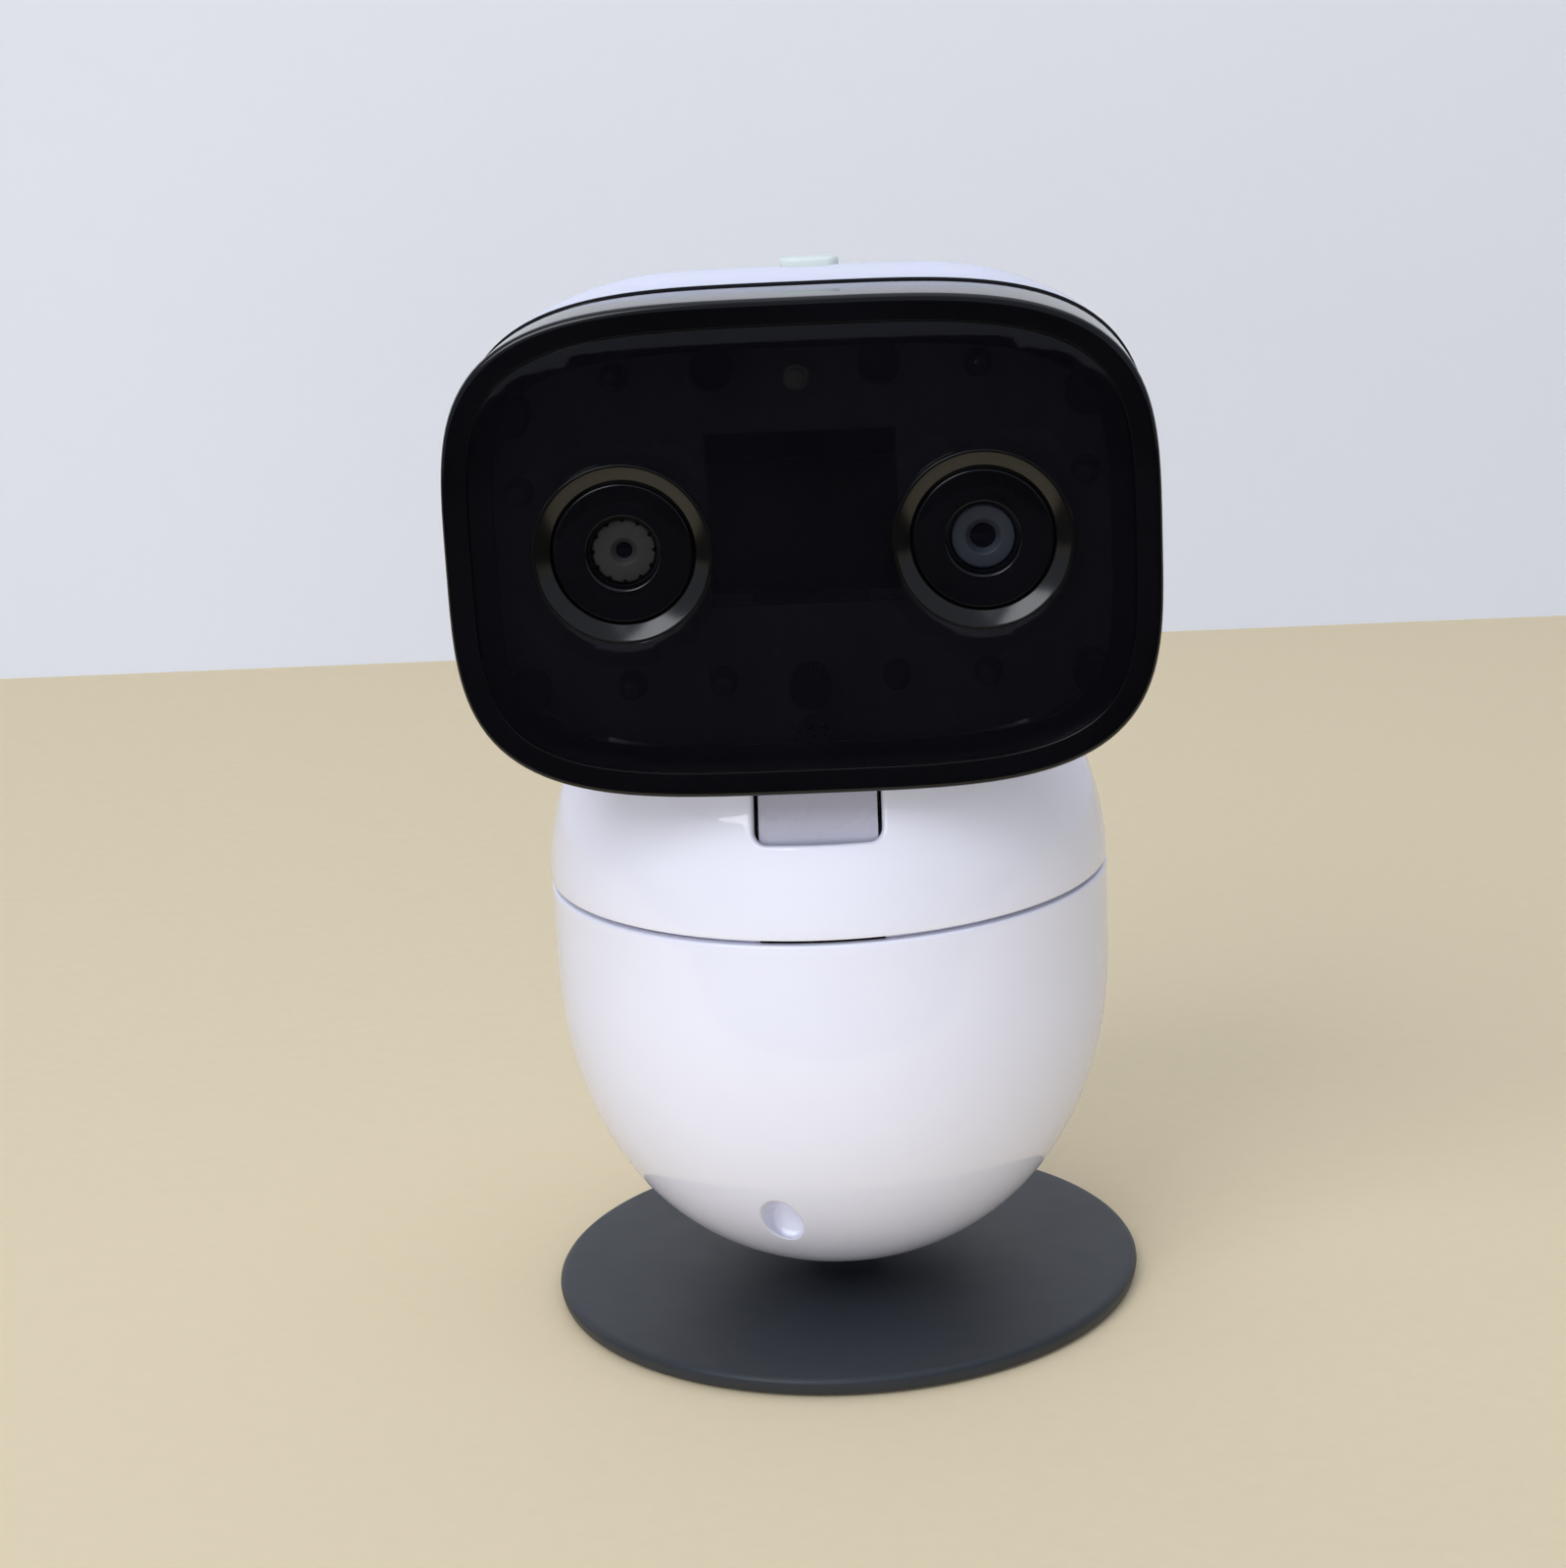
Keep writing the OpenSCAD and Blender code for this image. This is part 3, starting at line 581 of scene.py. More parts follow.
def stand_disc():
    """Flat charcoal disc: gently coned top, rounded rim, groove below for the foot ring."""
    top = corners("base_disc")[1].z
    rim = 2.7
    profile = soften([
        (4.05, 1.7, 0), (4.05, top, 0.2), (12, top, 2), (30, 3.0, 4), (DISC_R - 0.15, rim, 1.05),
        (DISC_R, 1.5, 0.5), (DISC_R - 0.35, 0.3, 0.5), (37.6, 0.3, 0.1), (37.6, 0.9, 0), (33.4, 0.9, 0),
        (33.4, 0.3, 0.1), (28.3, 0.3, 0.1), (28.3, 1.7, 0)], 7)
    shape = Shape()
    shape.revolve(profile, 192, about_z)
    return settle(add_mesh("stand_disc", shape, FINISH["charcoal_plastic"]), "base",
                  "charcoal_plastic", "base_disc")


def foot():
    """Rubber ring in the groove under the disc."""
    profile = soften([(33.5, 0, 0.25), (37.5, 0, 0.25), (37.5, 0.85, 0), (33.5, 0.85, 0)], 4)
    shape = Shape()
    shape.revolve(profile, 128, about_z)
    ring = add_mesh("foot_grip_ring", shape, FINISH["foot_rubber"])
    return settle(ring, "base", "foot_rubber", "foot_ring")


# ---- fixed lower body -------------------------------------------------------

def egg_point(side, rise):
    """Point and outward normal of the lower shell. side is an angle from the front, rise an angle
    that is 90 degrees at the widest place; beyond it the wall goes straight up."""
    if rise >= math.pi / 2:
        radius, z, slope = BODY_R, EGG_Z + (rise - math.pi / 2) * STRAIGHT_PER_RADIAN, (1.0, 0.0)
    else:
        u = math.cos(rise)
        z = EGG_Z - EGG_H * u
        radius = BODY_R * (1 - u ** EGG_N) ** (1 / EGG_N)
        slope = ((radius / BODY_R) ** (EGG_N - 1) / BODY_R, -(u ** (EGG_N - 1)) / EGG_H)
    size = math.hypot(*slope)
    x, y = math.sin(side), -math.cos(side)
    spot = Vector(turned((radius * x, radius * y, z)))
    normal = Vector(turned((slope[0] / size * x, slope[0] / size * y, slope[1] / size)))
    return spot, normal


def egg_rise(z):
    if z >= EGG_Z:
        return math.pi / 2 + (z - EGG_Z) / STRAIGHT_PER_RADIAN
    return math.acos((EGG_Z - z) / EGG_H)


def on_egg(origin, direction):
    """Where a straight line from outside first meets the egg, as (side, rise) in the body's own turn."""
    low, high = 0.0, 12.0
    for _ in range(44):
        t = (low + high) / 2
        x, y, z = (o + d * t for o, d in zip(origin, direction))
        u = min(1.0, max(0.0, (EGG_Z - z) / EGG_H))
        if math.hypot(x, y) > BODY_R * (1 - u ** EGG_N) ** (1 / EGG_N):
            low = t
        else:
            high = t
    return math.atan2(x, -y), egg_rise(z)


def blind_hole_loop(radius, count):
    """Loop on the egg where a rod of that radius along the front hole's axis meets it."""
    u = (EGG_Z - HOLE_Z) / EGG_H
    depth = BODY_R * (1 - u ** EGG_N) ** (1 / EGG_N)
    out = Vector((0, -math.cos(HOLE_RISE), math.sin(HOLE_RISE)))
    up = Vector((0, math.sin(HOLE_RISE), math.cos(HOLE_RISE)))
    start = Vector((0, -depth, HOLE_Z)) + out * 6
    loop = []
    for k in range(count):
        a = 2 * math.pi * k / count
        spot = start + Vector((1, 0, 0)) * radius * math.cos(a) + up * radius * math.sin(a)
        loop.append(on_egg(spot, -out))
    return loop


def rear_hole_loop(x, z, radius, count):
    """Loop on the rear of the egg round a straight hole that runs in from behind."""
    loop = []
    for k in range(count):
        a = 2 * math.pi * k / count
        loop.append(on_egg((x + radius * math.cos(a), 44, z + radius * math.sin(a)), (0, -1, 0)))
    return [(side % (2 * math.pi), rise) for side, rise in loop]


class EggWall:
    """Even grid over the lower shell's wall, from the opening in its base to just under the seam."""

    columns = 192
    rows = 64

    def __init__(self):
        self.low = egg_rise_at_radius(7.6 + 0.4)
        self.high = egg_rise(SHELL_TOP - 0.45)

    def side(self, i):
        return 2 * math.pi * i / self.columns

    def rise(self, j):
        return self.low + (self.high - self.low) * j / self.rows


def egg_rise_at_radius(radius):
    return math.acos((1 - (radius / BODY_R) ** EGG_N) ** (1 / EGG_N))


def lower_body():
    """Egg-shaped lower shell with its front recess, power inlet hole and speaker holes."""
    wall = EggWall()
    thick = EGG_WALL
    shape = Shape()
    grid = {}

    def vertex(i, j):
        key = (i % wall.columns, j)
        if key not in grid:
            spot, normal = egg_point(wall.side(key[0]), wall.rise(j))
            grid[key] = (len(shape.verts), len(shape.verts) + 1)
            shape.verts += [tuple(spot), tuple(spot - normal * thick)]
        return grid[key]

    def column(side):
        return side / (2 * math.pi) * wall.columns

    def row(rise):
        return (rise - wall.low) / (wall.high - wall.low) * wall.rows

    front = blind_hole_loop(4.9, 48)
    inlet = rear_hole_loop(0, 19, 4.1 + 0.3, 40)
    grille = [rear_hole_loop(i * 3, 31.2 + k * 3, 0.8 + 0.12, 14)
              for i in range(-2, 3) for k in range(-2, 3) if abs(i) + abs(k) < 4]
    blocks = []
    for loops in ([front], [inlet], grille):
        flat = [[(column(side), row(rise)) for side, rise in loop] for loop in loops]
        xs = [x for loop in flat for x, y in loop]
        ys = [y for loop in flat for x, y in loop]
        block = (math.floor(min(xs)) - 1, math.ceil(max(xs)) + 1,
                 math.floor(min(ys)) - 1, math.ceil(max(ys)) + 1)
        blocks.append((block, flat))
    for j in range(wall.rows):
        for i in range(wall.columns):
            if any(x0 <= c < x1 and y0 <= j < y1
                   for (x0, x1, y0, y1), flat in blocks for c in (i, i - wall.columns)):
                continue
            a, b, c, d = vertex(i, j), vertex(i + 1, j), vertex(i + 1, j + 1), vertex(i, j + 1)
            shape.faces.append((a[0], b[0], c[0], d[0]))
            shape.faces.append((d[1], c[1], b[1], a[1]))

    for number, ((x0, x1, y0, y1), flat) in enumerate(blocks):
        edge = ([(x, y0) for x in range(x0, x1)] + [(x1, y) for y in range(y0, y1)]
                + [(x, y1) for x in range(x1, x0, -1)] + [(x0, y) for y in range(y1, y0, -1)])
        points, faces, sizes = fill([[(float(x), float(y)) for x, y in edge], *flat], 1.0)
        pairs = []
        for k, p in enumerate(points):
            if k < len(edge):
                pairs.append(vertex(*edge[k]))
                continue
            spot, normal = egg_point(p[0] * 2 * math.pi / wall.columns,
                                     wall.low + (wall.high - wall.low) * p[1] / wall.rows)
            pairs.append((len(shape.verts), len(shape.verts) + 1))
            shape.verts += [tuple(spot), tuple(spot - normal * thick)]
        shape.faces += [tuple(pairs[k][0] for k in face) for face in faces]
        shape.faces += [tuple(pairs[k][1] for k in reversed(face)) for face in faces]
        first = sizes[0]
        for size in sizes[1:]:
            ring = pairs[first:first + size]
            if number == 0:
                front_recess(shape, ring)
            else:
                through_hole(shape, ring, 0.3 if number == 1 else 0.12, thick)
            first += size

    for j, away in ((0, None), (wall.rows, Vector((0, 0, 1)))):
        ring = [vertex(i, j) for i in range(wall.columns)]
        through_hole(shape, ring, 0.4, thick, away)
    return settle(add_mesh("lower_body_shell", shape, FINISH["white_gloss"], 40), "body",
                  "white_gloss", "lower_shell")


def through_hole(shape, ring, cut, thick, away=None):
    """Rounded edge and wall from the outer to the inner loop of an opening, or of an outside edge
    that faces away."""
    outer = [Vector(shape.verts[a]) for a, b in ring]
    normals = [(Vector(shape.verts[a]) - Vector(shape.verts[b])).normalized() for a, b in ring]
    centre = sum(outer, Vector()) / len(outer)
    along = outer[1] - outer[-1]
    side = along.cross(normals[0])
    sign = 1 if side.dot(away or centre - outer[0]) > 0 else -1
    rings = rim_rings(outer, normals, sign, cut, thick)
    numbers = [[a for a, b in ring], *[shape.ring(r) for r in rings], [b for a, b in ring]]
    for a, b in zip(numbers, numbers[1:]):
        shape.faces += bridge(a, b)


def front_recess(shape, ring):
    """Blind round hole in the front: soft edge, straight wall, dished floor, and its boss inside."""
    count = len(ring)
    out = Vector(turned((0, -math.cos(HOLE_RISE), math.sin(HOLE_RISE))))

    def loop(radius):
        return [egg_point(side, rise)[0] for side, rise in blind_hole_loop(radius, count)]

    edge, corner = loop(HOLE_R + 0.32), loop(HOLE_R)
    foot_of = [spot - out * 0.4 for spot in corner]
    rings = [loop(radius) for radius in (4.3, 3.7)]
    for s in range(7):
        t = s / 6
        rings.append([a * (1 - t) ** 2 + b * 2 * t * (1 - t) + c * t ** 2
                      for a, b, c in zip(edge, corner, foot_of)])
    centre = sum(corner, Vector()) / count
    reach = centre - out * HOLE_DEEP
    floor = [spot - out * (spot - reach).dot(out) for spot in corner]
    middle_of = sum(floor, Vector()) / count
    for part in (0.35, 0.7):
        rings.append([a * (1 - part) + b * part for a, b in zip(foot_of, floor)])
    rings.append([spot + out * 0.5 for spot in floor])
    rings += [[spot.lerp(middle_of, part) - out * drop for spot in floor]
              for part, drop in ((0.04, -0.15), (0.15, 0.0), (0.45, 0.1), (0.75, 0.15))]
    numbers = [[a for a, b in ring], *[shape.ring(r) for r in rings]]
    numbers.append(shape.ring([middle_of - out * 0.17]))
    for a, b in zip(numbers, numbers[1:]):
        shape.faces += bridge(a, b)
    inner = [Vector(shape.verts[b]) for a, b in ring]
    back = centre - out * (HOLE_DEEP + 1.3)
    end = [spot - out * (spot - back).dot(out) for spot in inner]
    last = sum(end, Vector()) / count
    numbers = [[b for a, b in ring], shape.ring(end), shape.ring([last])]
    for a, b in zip(numbers, numbers[1:]):
        shape.faces += [tuple(reversed(f)) for f in bridge(a, b)]


# ---- turning dome -----------------------------------------------------------

def dome_point(u, v):
    """Point and normal of the dome from a flat map: distance from the middle is the angle from the top."""
    angle = math.hypot(u, v)
    if angle < 1e-9:
        return Vector((0, 0, SEAM_Z + BODY_R)), Vector((0, 0, 1))
    normal = Vector((math.sin(angle) * u / angle, math.sin(angle) * v / angle, math.cos(angle)))
    return Vector((0, 0, SEAM_Z)) + normal * BODY_R, normal


def dome_map(x, y, z):
    """Flat map place of a point on the dome."""
    side = math.hypot(x, y)
    angle = math.atan2(side, z - SEAM_Z)
    return (angle * x / side, angle * y / side) if side > 1e-9 else (0.0, 0.0)


def slot_outline(grow, step):
    """Edge of the dome's slot: up the left side from the lower edge, over the top, and back down."""
    half, low, back = SLOT_HALF + grow, SLOT_LOW - grow, SLOT_BACK + grow
    radius = 1.7 + grow
    line = []
    deep = math.sqrt(BODY_R ** 2 - half ** 2)
    start = math.asin((low + radius - SEAM_Z) / deep)
    end = math.pi / 2 + math.asin((back - 0.8) / deep)
    count = int((end - start) * deep / step)
    for side in (-1, 1):
        arc = [(side * half, -deep * math.cos(start + (end - start) * k / count),
                SEAM_Z + deep * math.sin(start + (end - start) * k / count)) for k in range(count + 1)]
        corner = []
        for k in range(1, 7):
            a = math.pi / 2 * k / 6
            x = half - radius + radius * math.cos(a)
            z = low + radius - radius * math.sin(a)
            corner.append((side * x, -math.sqrt(BODY_R ** 2 - x ** 2 - (z - SEAM_Z) ** 2), z))
        rear = []
        for k in range(1, 5):
            a = math.pi / 2 * k / 4
            x = half - 0.8 + 0.8 * math.cos(a)
            y = back - 0.8 + 0.8 * math.sin(a)
            rear.append((side * x, y, SEAM_Z + math.sqrt(BODY_R ** 2 - x ** 2 - y ** 2)))
        piece = list(reversed(corner)) + arc + rear
        line.append(piece)
    left, right = line
    bottom = []
    top = []
    wide = half - radius
    steps = int(2 * wide / step)
    for k in range(1, steps):
        x = wide - 2 * wide * k / steps
        bottom.append((x, -math.sqrt(BODY_R ** 2 - x ** 2 - (low - SEAM_Z) ** 2), low))
        x = -wide + 2 * wide * k / steps
        top.append((x, back, SEAM_Z + math.sqrt(BODY_R ** 2 - x ** 2 - back ** 2)))
    return left + top + list(reversed(right)) + bottom


def upper_dome():
    """Turning dome: a half sphere with a slot for the neck, and a skirt inside the seam that is
    notched where the neck drum passes."""
    cut = 0.55
    low = SEAM_Z + 0.16
    shape = Shape()
    edge_angle = math.acos((low + 0.45 - SEAM_Z) / BODY_R)
    columns = 200
    turns = [2 * math.pi * k / columns for k in range(columns)]
    outer = [(edge_angle * math.cos(a), edge_angle * math.sin(a)) for a in turns]
    slot = [dome_map(*p) for p in slot_outline(cut, 1.2)]
    points, faces, sizes = fill([outer, slot], 1.25 / BODY_R)
    laid = [dome_point(p[0], p[1]) for p in points]
    skin = shape.ring([spot for spot, normal in laid])
    lining = shape.ring([spot - normal * DOME_WALL for spot, normal in laid])
    shape.faces += [tuple(skin[k] for k in face) for face in faces]
    shape.faces += [tuple(lining[k] for k in reversed(face)) for face in faces]
    ring = [(skin[k], lining[k]) for k in range(sizes[0], sizes[0] + sizes[1])]
    through_hole(shape, ring, cut, DOME_WALL)
    inner_r = Vector(shape.verts[lining[0]]).xy.length
    lip = soften([(BODY_R - 0.02, low + 0.45, 0), (BODY_R - 0.02, low, 0.4), (BODY_R - 1.95, low, 0),
                  (BODY_R - 1.95, SEAM_Z - 1.8, 0.1), (BODY_R - 2.35, SEAM_Z - 1.8, 0.1),
                  (BODY_R - 2.35, SEAM_Z + 2.0, 0), (inner_r - 0.05, SEAM_Z + 2.0, 0)], 5)[1:-1]
    rings = [[(r * math.cos(a), r * math.sin(a), z) for a in turns] for r, z in lip]
    numbers = [[skin[k] for k in range(columns)], *[shape.ring(r) for r in rings],
               [lining[k] for k in range(columns)]]
    for a, b in zip(numbers, numbers[1:]):
        shape.faces += bridge(a, b)
    piece = add_mesh("upper_dome_shell", shape, FINISH["white_gloss"], 40)
    notch_half, notch_front = 8.1, -37.0
    cut_away(piece, box_cutter(-notch_half, notch_half, notch_front, 0, SEAM_Z - 3, SEAM_Z + 2.5))
    return settle(piece, "dome", "white_gloss", "dome_shell")


# ---- head -------------------------------------------------------------------

OUTLINE_N = (3.8, 3.67)
OUTLINE_COLUMNS = 200


def outline_point(t):
    """Point of the head's outline, a rounded rectangle, at parameter t."""
    return (HEAD_A * power(math.cos(t), 2 / OUTLINE_N[0]), HEAD_B * power(math.sin(t), 2 / OUTLINE_N[1]))


def even_turns(count):
    """Parameters that spread points evenly along the head's rounded outline."""
    fine = 6000
    spots = [outline_point(2 * math.pi * k / fine) for k in range(fine + 1)]
    lengths = [0.0]
    for a, b in zip(spots, spots[1:]):
        lengths.append(lengths[-1] + math.dist(a, b))
    turns = []
    k = 0
    for j in range(count):
        goal = lengths[-1] * j / count
        while lengths[k + 1] < goal:
            k += 1
        part = (goal - lengths[k]) / (lengths[k + 1] - lengths[k])
        turns.append(2 * math.pi * (k + part) / fine)
    return turns


HEAD_TURNS = even_turns(OUTLINE_COLUMNS)


def head_outline(inset):
    """Points of the head's outline, moved square to the edge by inset."""
    line = []
    for t in HEAD_TURNS:
        x, z = outline_point(t)
        nx = power(x / HEAD_A, OUTLINE_N[0] - 1) / HEAD_A
        nz = power(z / HEAD_B, OUTLINE_N[1] - 1) / HEAD_B
        size = math.hypot(nx, nz)
        line.append((x - nx / size * inset, z - nz / size * inset))
    return line


def head_ring(inset, y):
    return [(x, y, HEAD_Z + z) for x, z in head_outline(inset)]


def gap_cutter():
    """Ball with a small clearance round the dome, which hollows the head's underside."""
    shape = Shape()
    radius = BODY_R + 1.2
    rows = 96
    profile = [(radius * math.sin(math.pi * k / rows), SEAM_Z - radius * math.cos(math.pi * k / rows))
               for k in range(rows + 1)]
    profile[0] = (0, profile[0][1])
    profile[-1] = (0, profile[-1][1])
    shape.revolve(profile, 192, about_z)
    return add_mesh("gap_cutter", shape, FINISH["black_gloss"])


def box_cutter(x0, x1, y0, y1, z0, z1):
    """Box to cut away, given by its limits along each axis."""
    shape = Shape()
    rings = [[(x0, y0, z), (x1, y0, z), (x1, y1, z), (x0, y1, z)] for z in (z0, z1)]
    numbers = shape.loft(rings, False)
    shape.faces += [tuple(reversed(numbers[0])), tuple(numbers[1])]
    return add_mesh("box_cutter", shape, FINISH["black_gloss"])


def front_housing():
    """Glossy black front housing: rounded front edge, a ledge for the window and a low lip at its rear."""
    profile = soften([
        (3.6, FACE_Y + 1.55, 0), (3.6, FACE_Y, 0.16), (0.28, FACE_Y, 0.95),
        (0.28, JOIN_Y - 0.55, 0), (0, JOIN_Y - 0.5, 0.05), (0, JOIN_Y, 0.12), (2.0, JOIN_Y, 0.15),
        (2.0, FACE_Y + 2.6, 0.3), (6.5, FACE_Y + 2.6, 0.2), (6.5, FACE_Y + 1.55, 0.2)], 7)
    shape = Shape()
    shape.loft([head_ring(inset, y) for inset, y in profile], True)
    piece = add_mesh("front_housing", shape, FINISH["black_gloss"])
    cut_away(piece, gap_cutter())
    cut_away(piece, box_cutter(-NECK_HALF - 0.4, NECK_HALF + 0.4, -33.5, -3.5, 60, 92))
    return settle(piece, "head", "black_gloss", "head_bezel")


def circle(x, z, radius, count):
    return [(x + radius * math.cos(2 * math.pi * k / count), z + radius * math.sin(2 * math.pi * k / count))
            for k in range(count)]


def window_panel():
    """Dark window plate with two round openings for the eyes."""
    top, under = FACE_Y + 0.1, FACE_Y + 1.5
    outline = [(x, HEAD_Z + z) for x, z in head_outline(3.85)]
    eyes = [circle(s * EYE_X, EYE_Z, 11.45, 96) for s in (-1, 1)]
    shape = Shape()
    points, faces, sizes = fill([outline, *eyes], 3.0)
    front = shape.ring([(p[0], top, p[1]) for p in points])
    back = shape.ring([(p[0], under, p[1]) for p in points])
    shape.faces += [tuple(front[k] for k in face) for face in faces]
    shape.faces += [tuple(back[k] for k in reversed(face)) for face in faces]
    edge_rings = [[(x, y, HEAD_Z + z) for x, z in head_outline(inset)]
                  for inset, y in ((3.72, top + 0.04), (3.66, top + 0.15), (3.66, under - 0.1))]
    numbers = [front[:sizes[0]], *[shape.ring(r) for r in edge_rings], back[:sizes[0]]]
    for a, b in zip(numbers, numbers[1:]):
        shape.faces += bridge(a, b)
    first = sizes[0]
    for s, size in zip((-1, 1), sizes[1:]):
        rings = [[(x, y, z) for x, z in circle(s * EYE_X, EYE_Z, radius, size)]
                 for radius, y in ((11.33, top + 0.05), (11.29, top + 0.15), (11.29, under - 0.1))]
        numbers = [front[first:first + size], *[shape.ring(r) for r in rings], back[first:first + size]]
        for a, b in zip(numbers, numbers[1:]):
            shape.faces += bridge(a, b)
        first += size
    panel = add_mesh("window_panel", shape, FINISH["dark_window"])
    return settle(panel, "head", "dark_window", "face_window")


def eye(side, name, pupil, barrel_finish, slot, notches):
    """One camera eye: dished ring, flat disc, lens barrel with a small pupil, and the lens in it."""
    place = about_y(side * EYE_X, EYE_Z)
    ring = Shape()
    ring.revolve(soften([
        (11.25, FACE_Y + 3, 0), (11.25, FACE_Y + 0.05, 0.12), (10.95, FACE_Y + 0.05, 0.2),
        (8.98, FACE_Y + 1.3, 0.25), (8.95, FACE_Y + 2.35, 0.1), (7.6, FACE_Y + 2.35, 0.1),
        (7.6, FACE_Y + 3, 0)], 6), 128, place)
    cone = add_mesh("eye_cone_" + name, ring, FINISH["ring_gloss"])
    settle(cone, "head", "black_gloss", "eye_ring_" + name)
    disc = Shape()
    disc.revolve(soften([
        (8.7, FACE_Y + 2.3, 0), (8.7, FACE_Y + 1.0, 0.28), (4.75, FACE_Y + 1.0, 0.2),
        (4.15, FACE_Y + 1.75, 0.15), (4.15, FACE_Y + 2.3, 0)], 6), 128, place)
    face = add_mesh("eye_face_" + name, disc, FINISH["black_gloss"])
    settle(face, "head", "black_gloss", "eye_disc_" + name)
    barrel = Shape()
    front = FACE_Y + 2.6
    profile = soften([
        (0, FACE_Y + 14, 0), (4, FACE_Y + 14, 0.1), (4, FACE_Y + 12, 0), (5, FACE_Y + 12, 0.1),
        (5, FACE_Y + 5, 0.1), (4, FACE_Y + 5, 0), (4, front, 0.3), (pupil + 0.75, front, 0.1),
        (pupil + 0.05, front + 0.8, 0.1), (pupil, FACE_Y + 9.0, 0), (0, FACE_Y + 9.0, 0)], 4)

    def notched(u, v, h):
        """Small round notches in the barrel's front edge."""
        radius = math.hypot(u, v)
        if notches and radius > 3.3 and h < FACE_Y + 4:
            turn = math.atan2(v, u) * notches / (2 * math.pi)
            away = abs(turn - round(turn)) * 2 * math.pi * 4 / notches
            dent = 0.3 * max(0.0, 1 - (away / 0.34) ** 2) ** 0.5
            u, v = u * (1 - dent / radius), v * (1 - dent / radius)
        return place(u, v, h)

    barrel.revolve(profile, 144, notched)
    tube = add_mesh("barrel_" + name, barrel, FINISH[barrel_finish])
    settle(tube, "head", slot, "lens_barrel_" + name)
    glass = Shape()
    bow = [(pupil - 0.03) * k / 8 for k in range(9)]
    glass.revolve([(r, FACE_Y + 3.62 + r * r / (16 * pupil)) for r in bow]
                  + [(pupil - 0.03, FACE_Y + 4.55), (0, FACE_Y + 4.55)], 48, place)
    lens = add_mesh("glass_" + name, glass, FINISH["lens_glass"], 50)
    settle(lens, "head", "lens_glass", "lens_glass_" + name)


# Places of the lamps and pillars on one side, from the head's centre.
LED_AT = [(22.6, 21.7), (35.4, 7.8), (22.6, -17.3), (11, -17.3)]
POST_AT = [(35.7, 17.8), (10.3, 22.6), (35.7, -17.5)]


def infrared_lamps():
    """Eight 3 mm lamps with domed tips."""
    radius = 1.5
    tip = FACE_Y + 3.6
    number = 0
    for side in (-1, 1):
        for x, z in LED_AT:
            number += 1
            turns = [math.pi / 2 * k / 10 for k in range(11)]
            dome = [(radius * math.sin(a), tip - radius * math.cos(a)) for a in turns]
            base = soften([(radius, FACE_Y + 6.1, 0), (1.8, FACE_Y + 6.1, 0.1), (1.8, FACE_Y + 6.95, 0),
                           (0, FACE_Y + 6.95, 0)], 3)
            shape = Shape()
            shape.revolve(dome + base, 40, about_y(side * x, HEAD_Z + z))
            lamp = add_mesh(f"infrared_lamp_{number}", shape, FINISH["led_resin"], 50)
            settle(lamp, "head", "led_resin", "ir_leds")


def window_pillars():
    """Seven round pillars behind the window, with a finely fluted edge."""
    spots = [(side * x, z) for side in (-1, 1) for x, z in POST_AT] + [(0, -18)]
    for number, (x, z) in enumerate(spots, 1):
        place = about_y(x, HEAD_Z + z)

        def fluted(u, v, h):
            ripple = 1 - 0.025 * (1 + math.cos(24 * math.atan2(v, u)))
            return place(u * ripple, v * ripple, h)

        shape = Shape()
        shape.revolve(soften([(0, FACE_Y + 1.6, 0), (2.67, FACE_Y + 1.6, 0.15), (2.67, FACE_Y + 6.95, 0),
                              (0, FACE_Y + 6.95, 0)], 4), 192, fluted)
        settle(add_mesh(f"window_pillar_{number}", shape, FINISH["dark_plastic"]), "head",
               "dark_plastic", "window_posts")


# ---- rear of the head -------------------------------------------------------

SHELL_THICK = 1.7
SHOULDER = 6.6
SIDE_END = JOIN_Y + 4.5
DOMED_R = 135.0
SIDE_INSET = 0.25
CROWN = CROWN_TOP - HEAD_TOP + SIDE_INSET
SCREW_AT = [(-33, 15), (33, 15), (-33, -12), (33, -12)]
VENT_Z = -2.55


def rear_depth(x, z):
    """Depth of the gently domed rear face; z is measured from the head's centre."""
    return REAR_Y - (x * x + z * z) / (2 * DOMED_R)


def rear_ring(turn_deg, side_y, deep):
    """One outline of the back shell, turn_deg from 0 at the straight side to 90 at the rear face,
    deep below the outer surface."""
    a = math.radians(turn_deg)
    inset = SIDE_INSET + deep + (SHOULDER - deep) * (1 - math.cos(a))
    ring = []
    for x, z in head_outline(inset):
        y = side_y + (rear_depth(x, z) - deep - side_y) * math.sin(a)
        ring.append((x, y, HEAD_Z + z + crown_lift(x, y, z)))
    return ring


def crown_lift(x, y, z):
    """How far the shell's top rises above the front housing, so that it carries the button."""
    along = min(1.0, max(0.0, (y - JOIN_Y) / 3.2))
    fade = min(1.0, max(0.0, (REAR_Y - y) / 7.0))
    high = min(1.0, max(0.0, z / HEAD_B))
    central = min(1.0, max(0.0, (40 - abs(x)) / 22))
    ease = [t * t * (3 - 2 * t) for t in (along, fade, high, central)]
    return CROWN * math.prod(ease)


def pill(x, z, half, radius, count):
    """Loop of a slot with round ends, half its straight length either side of (x, z)."""
    loop = []
    for k in range(count):
        a = 2 * math.pi * (k + 0.5) / count
        shift = half if math.cos(a) > 0 else -half
        loop.append((x + shift + radius * math.cos(a), z + radius * math.sin(a)))
    return loop


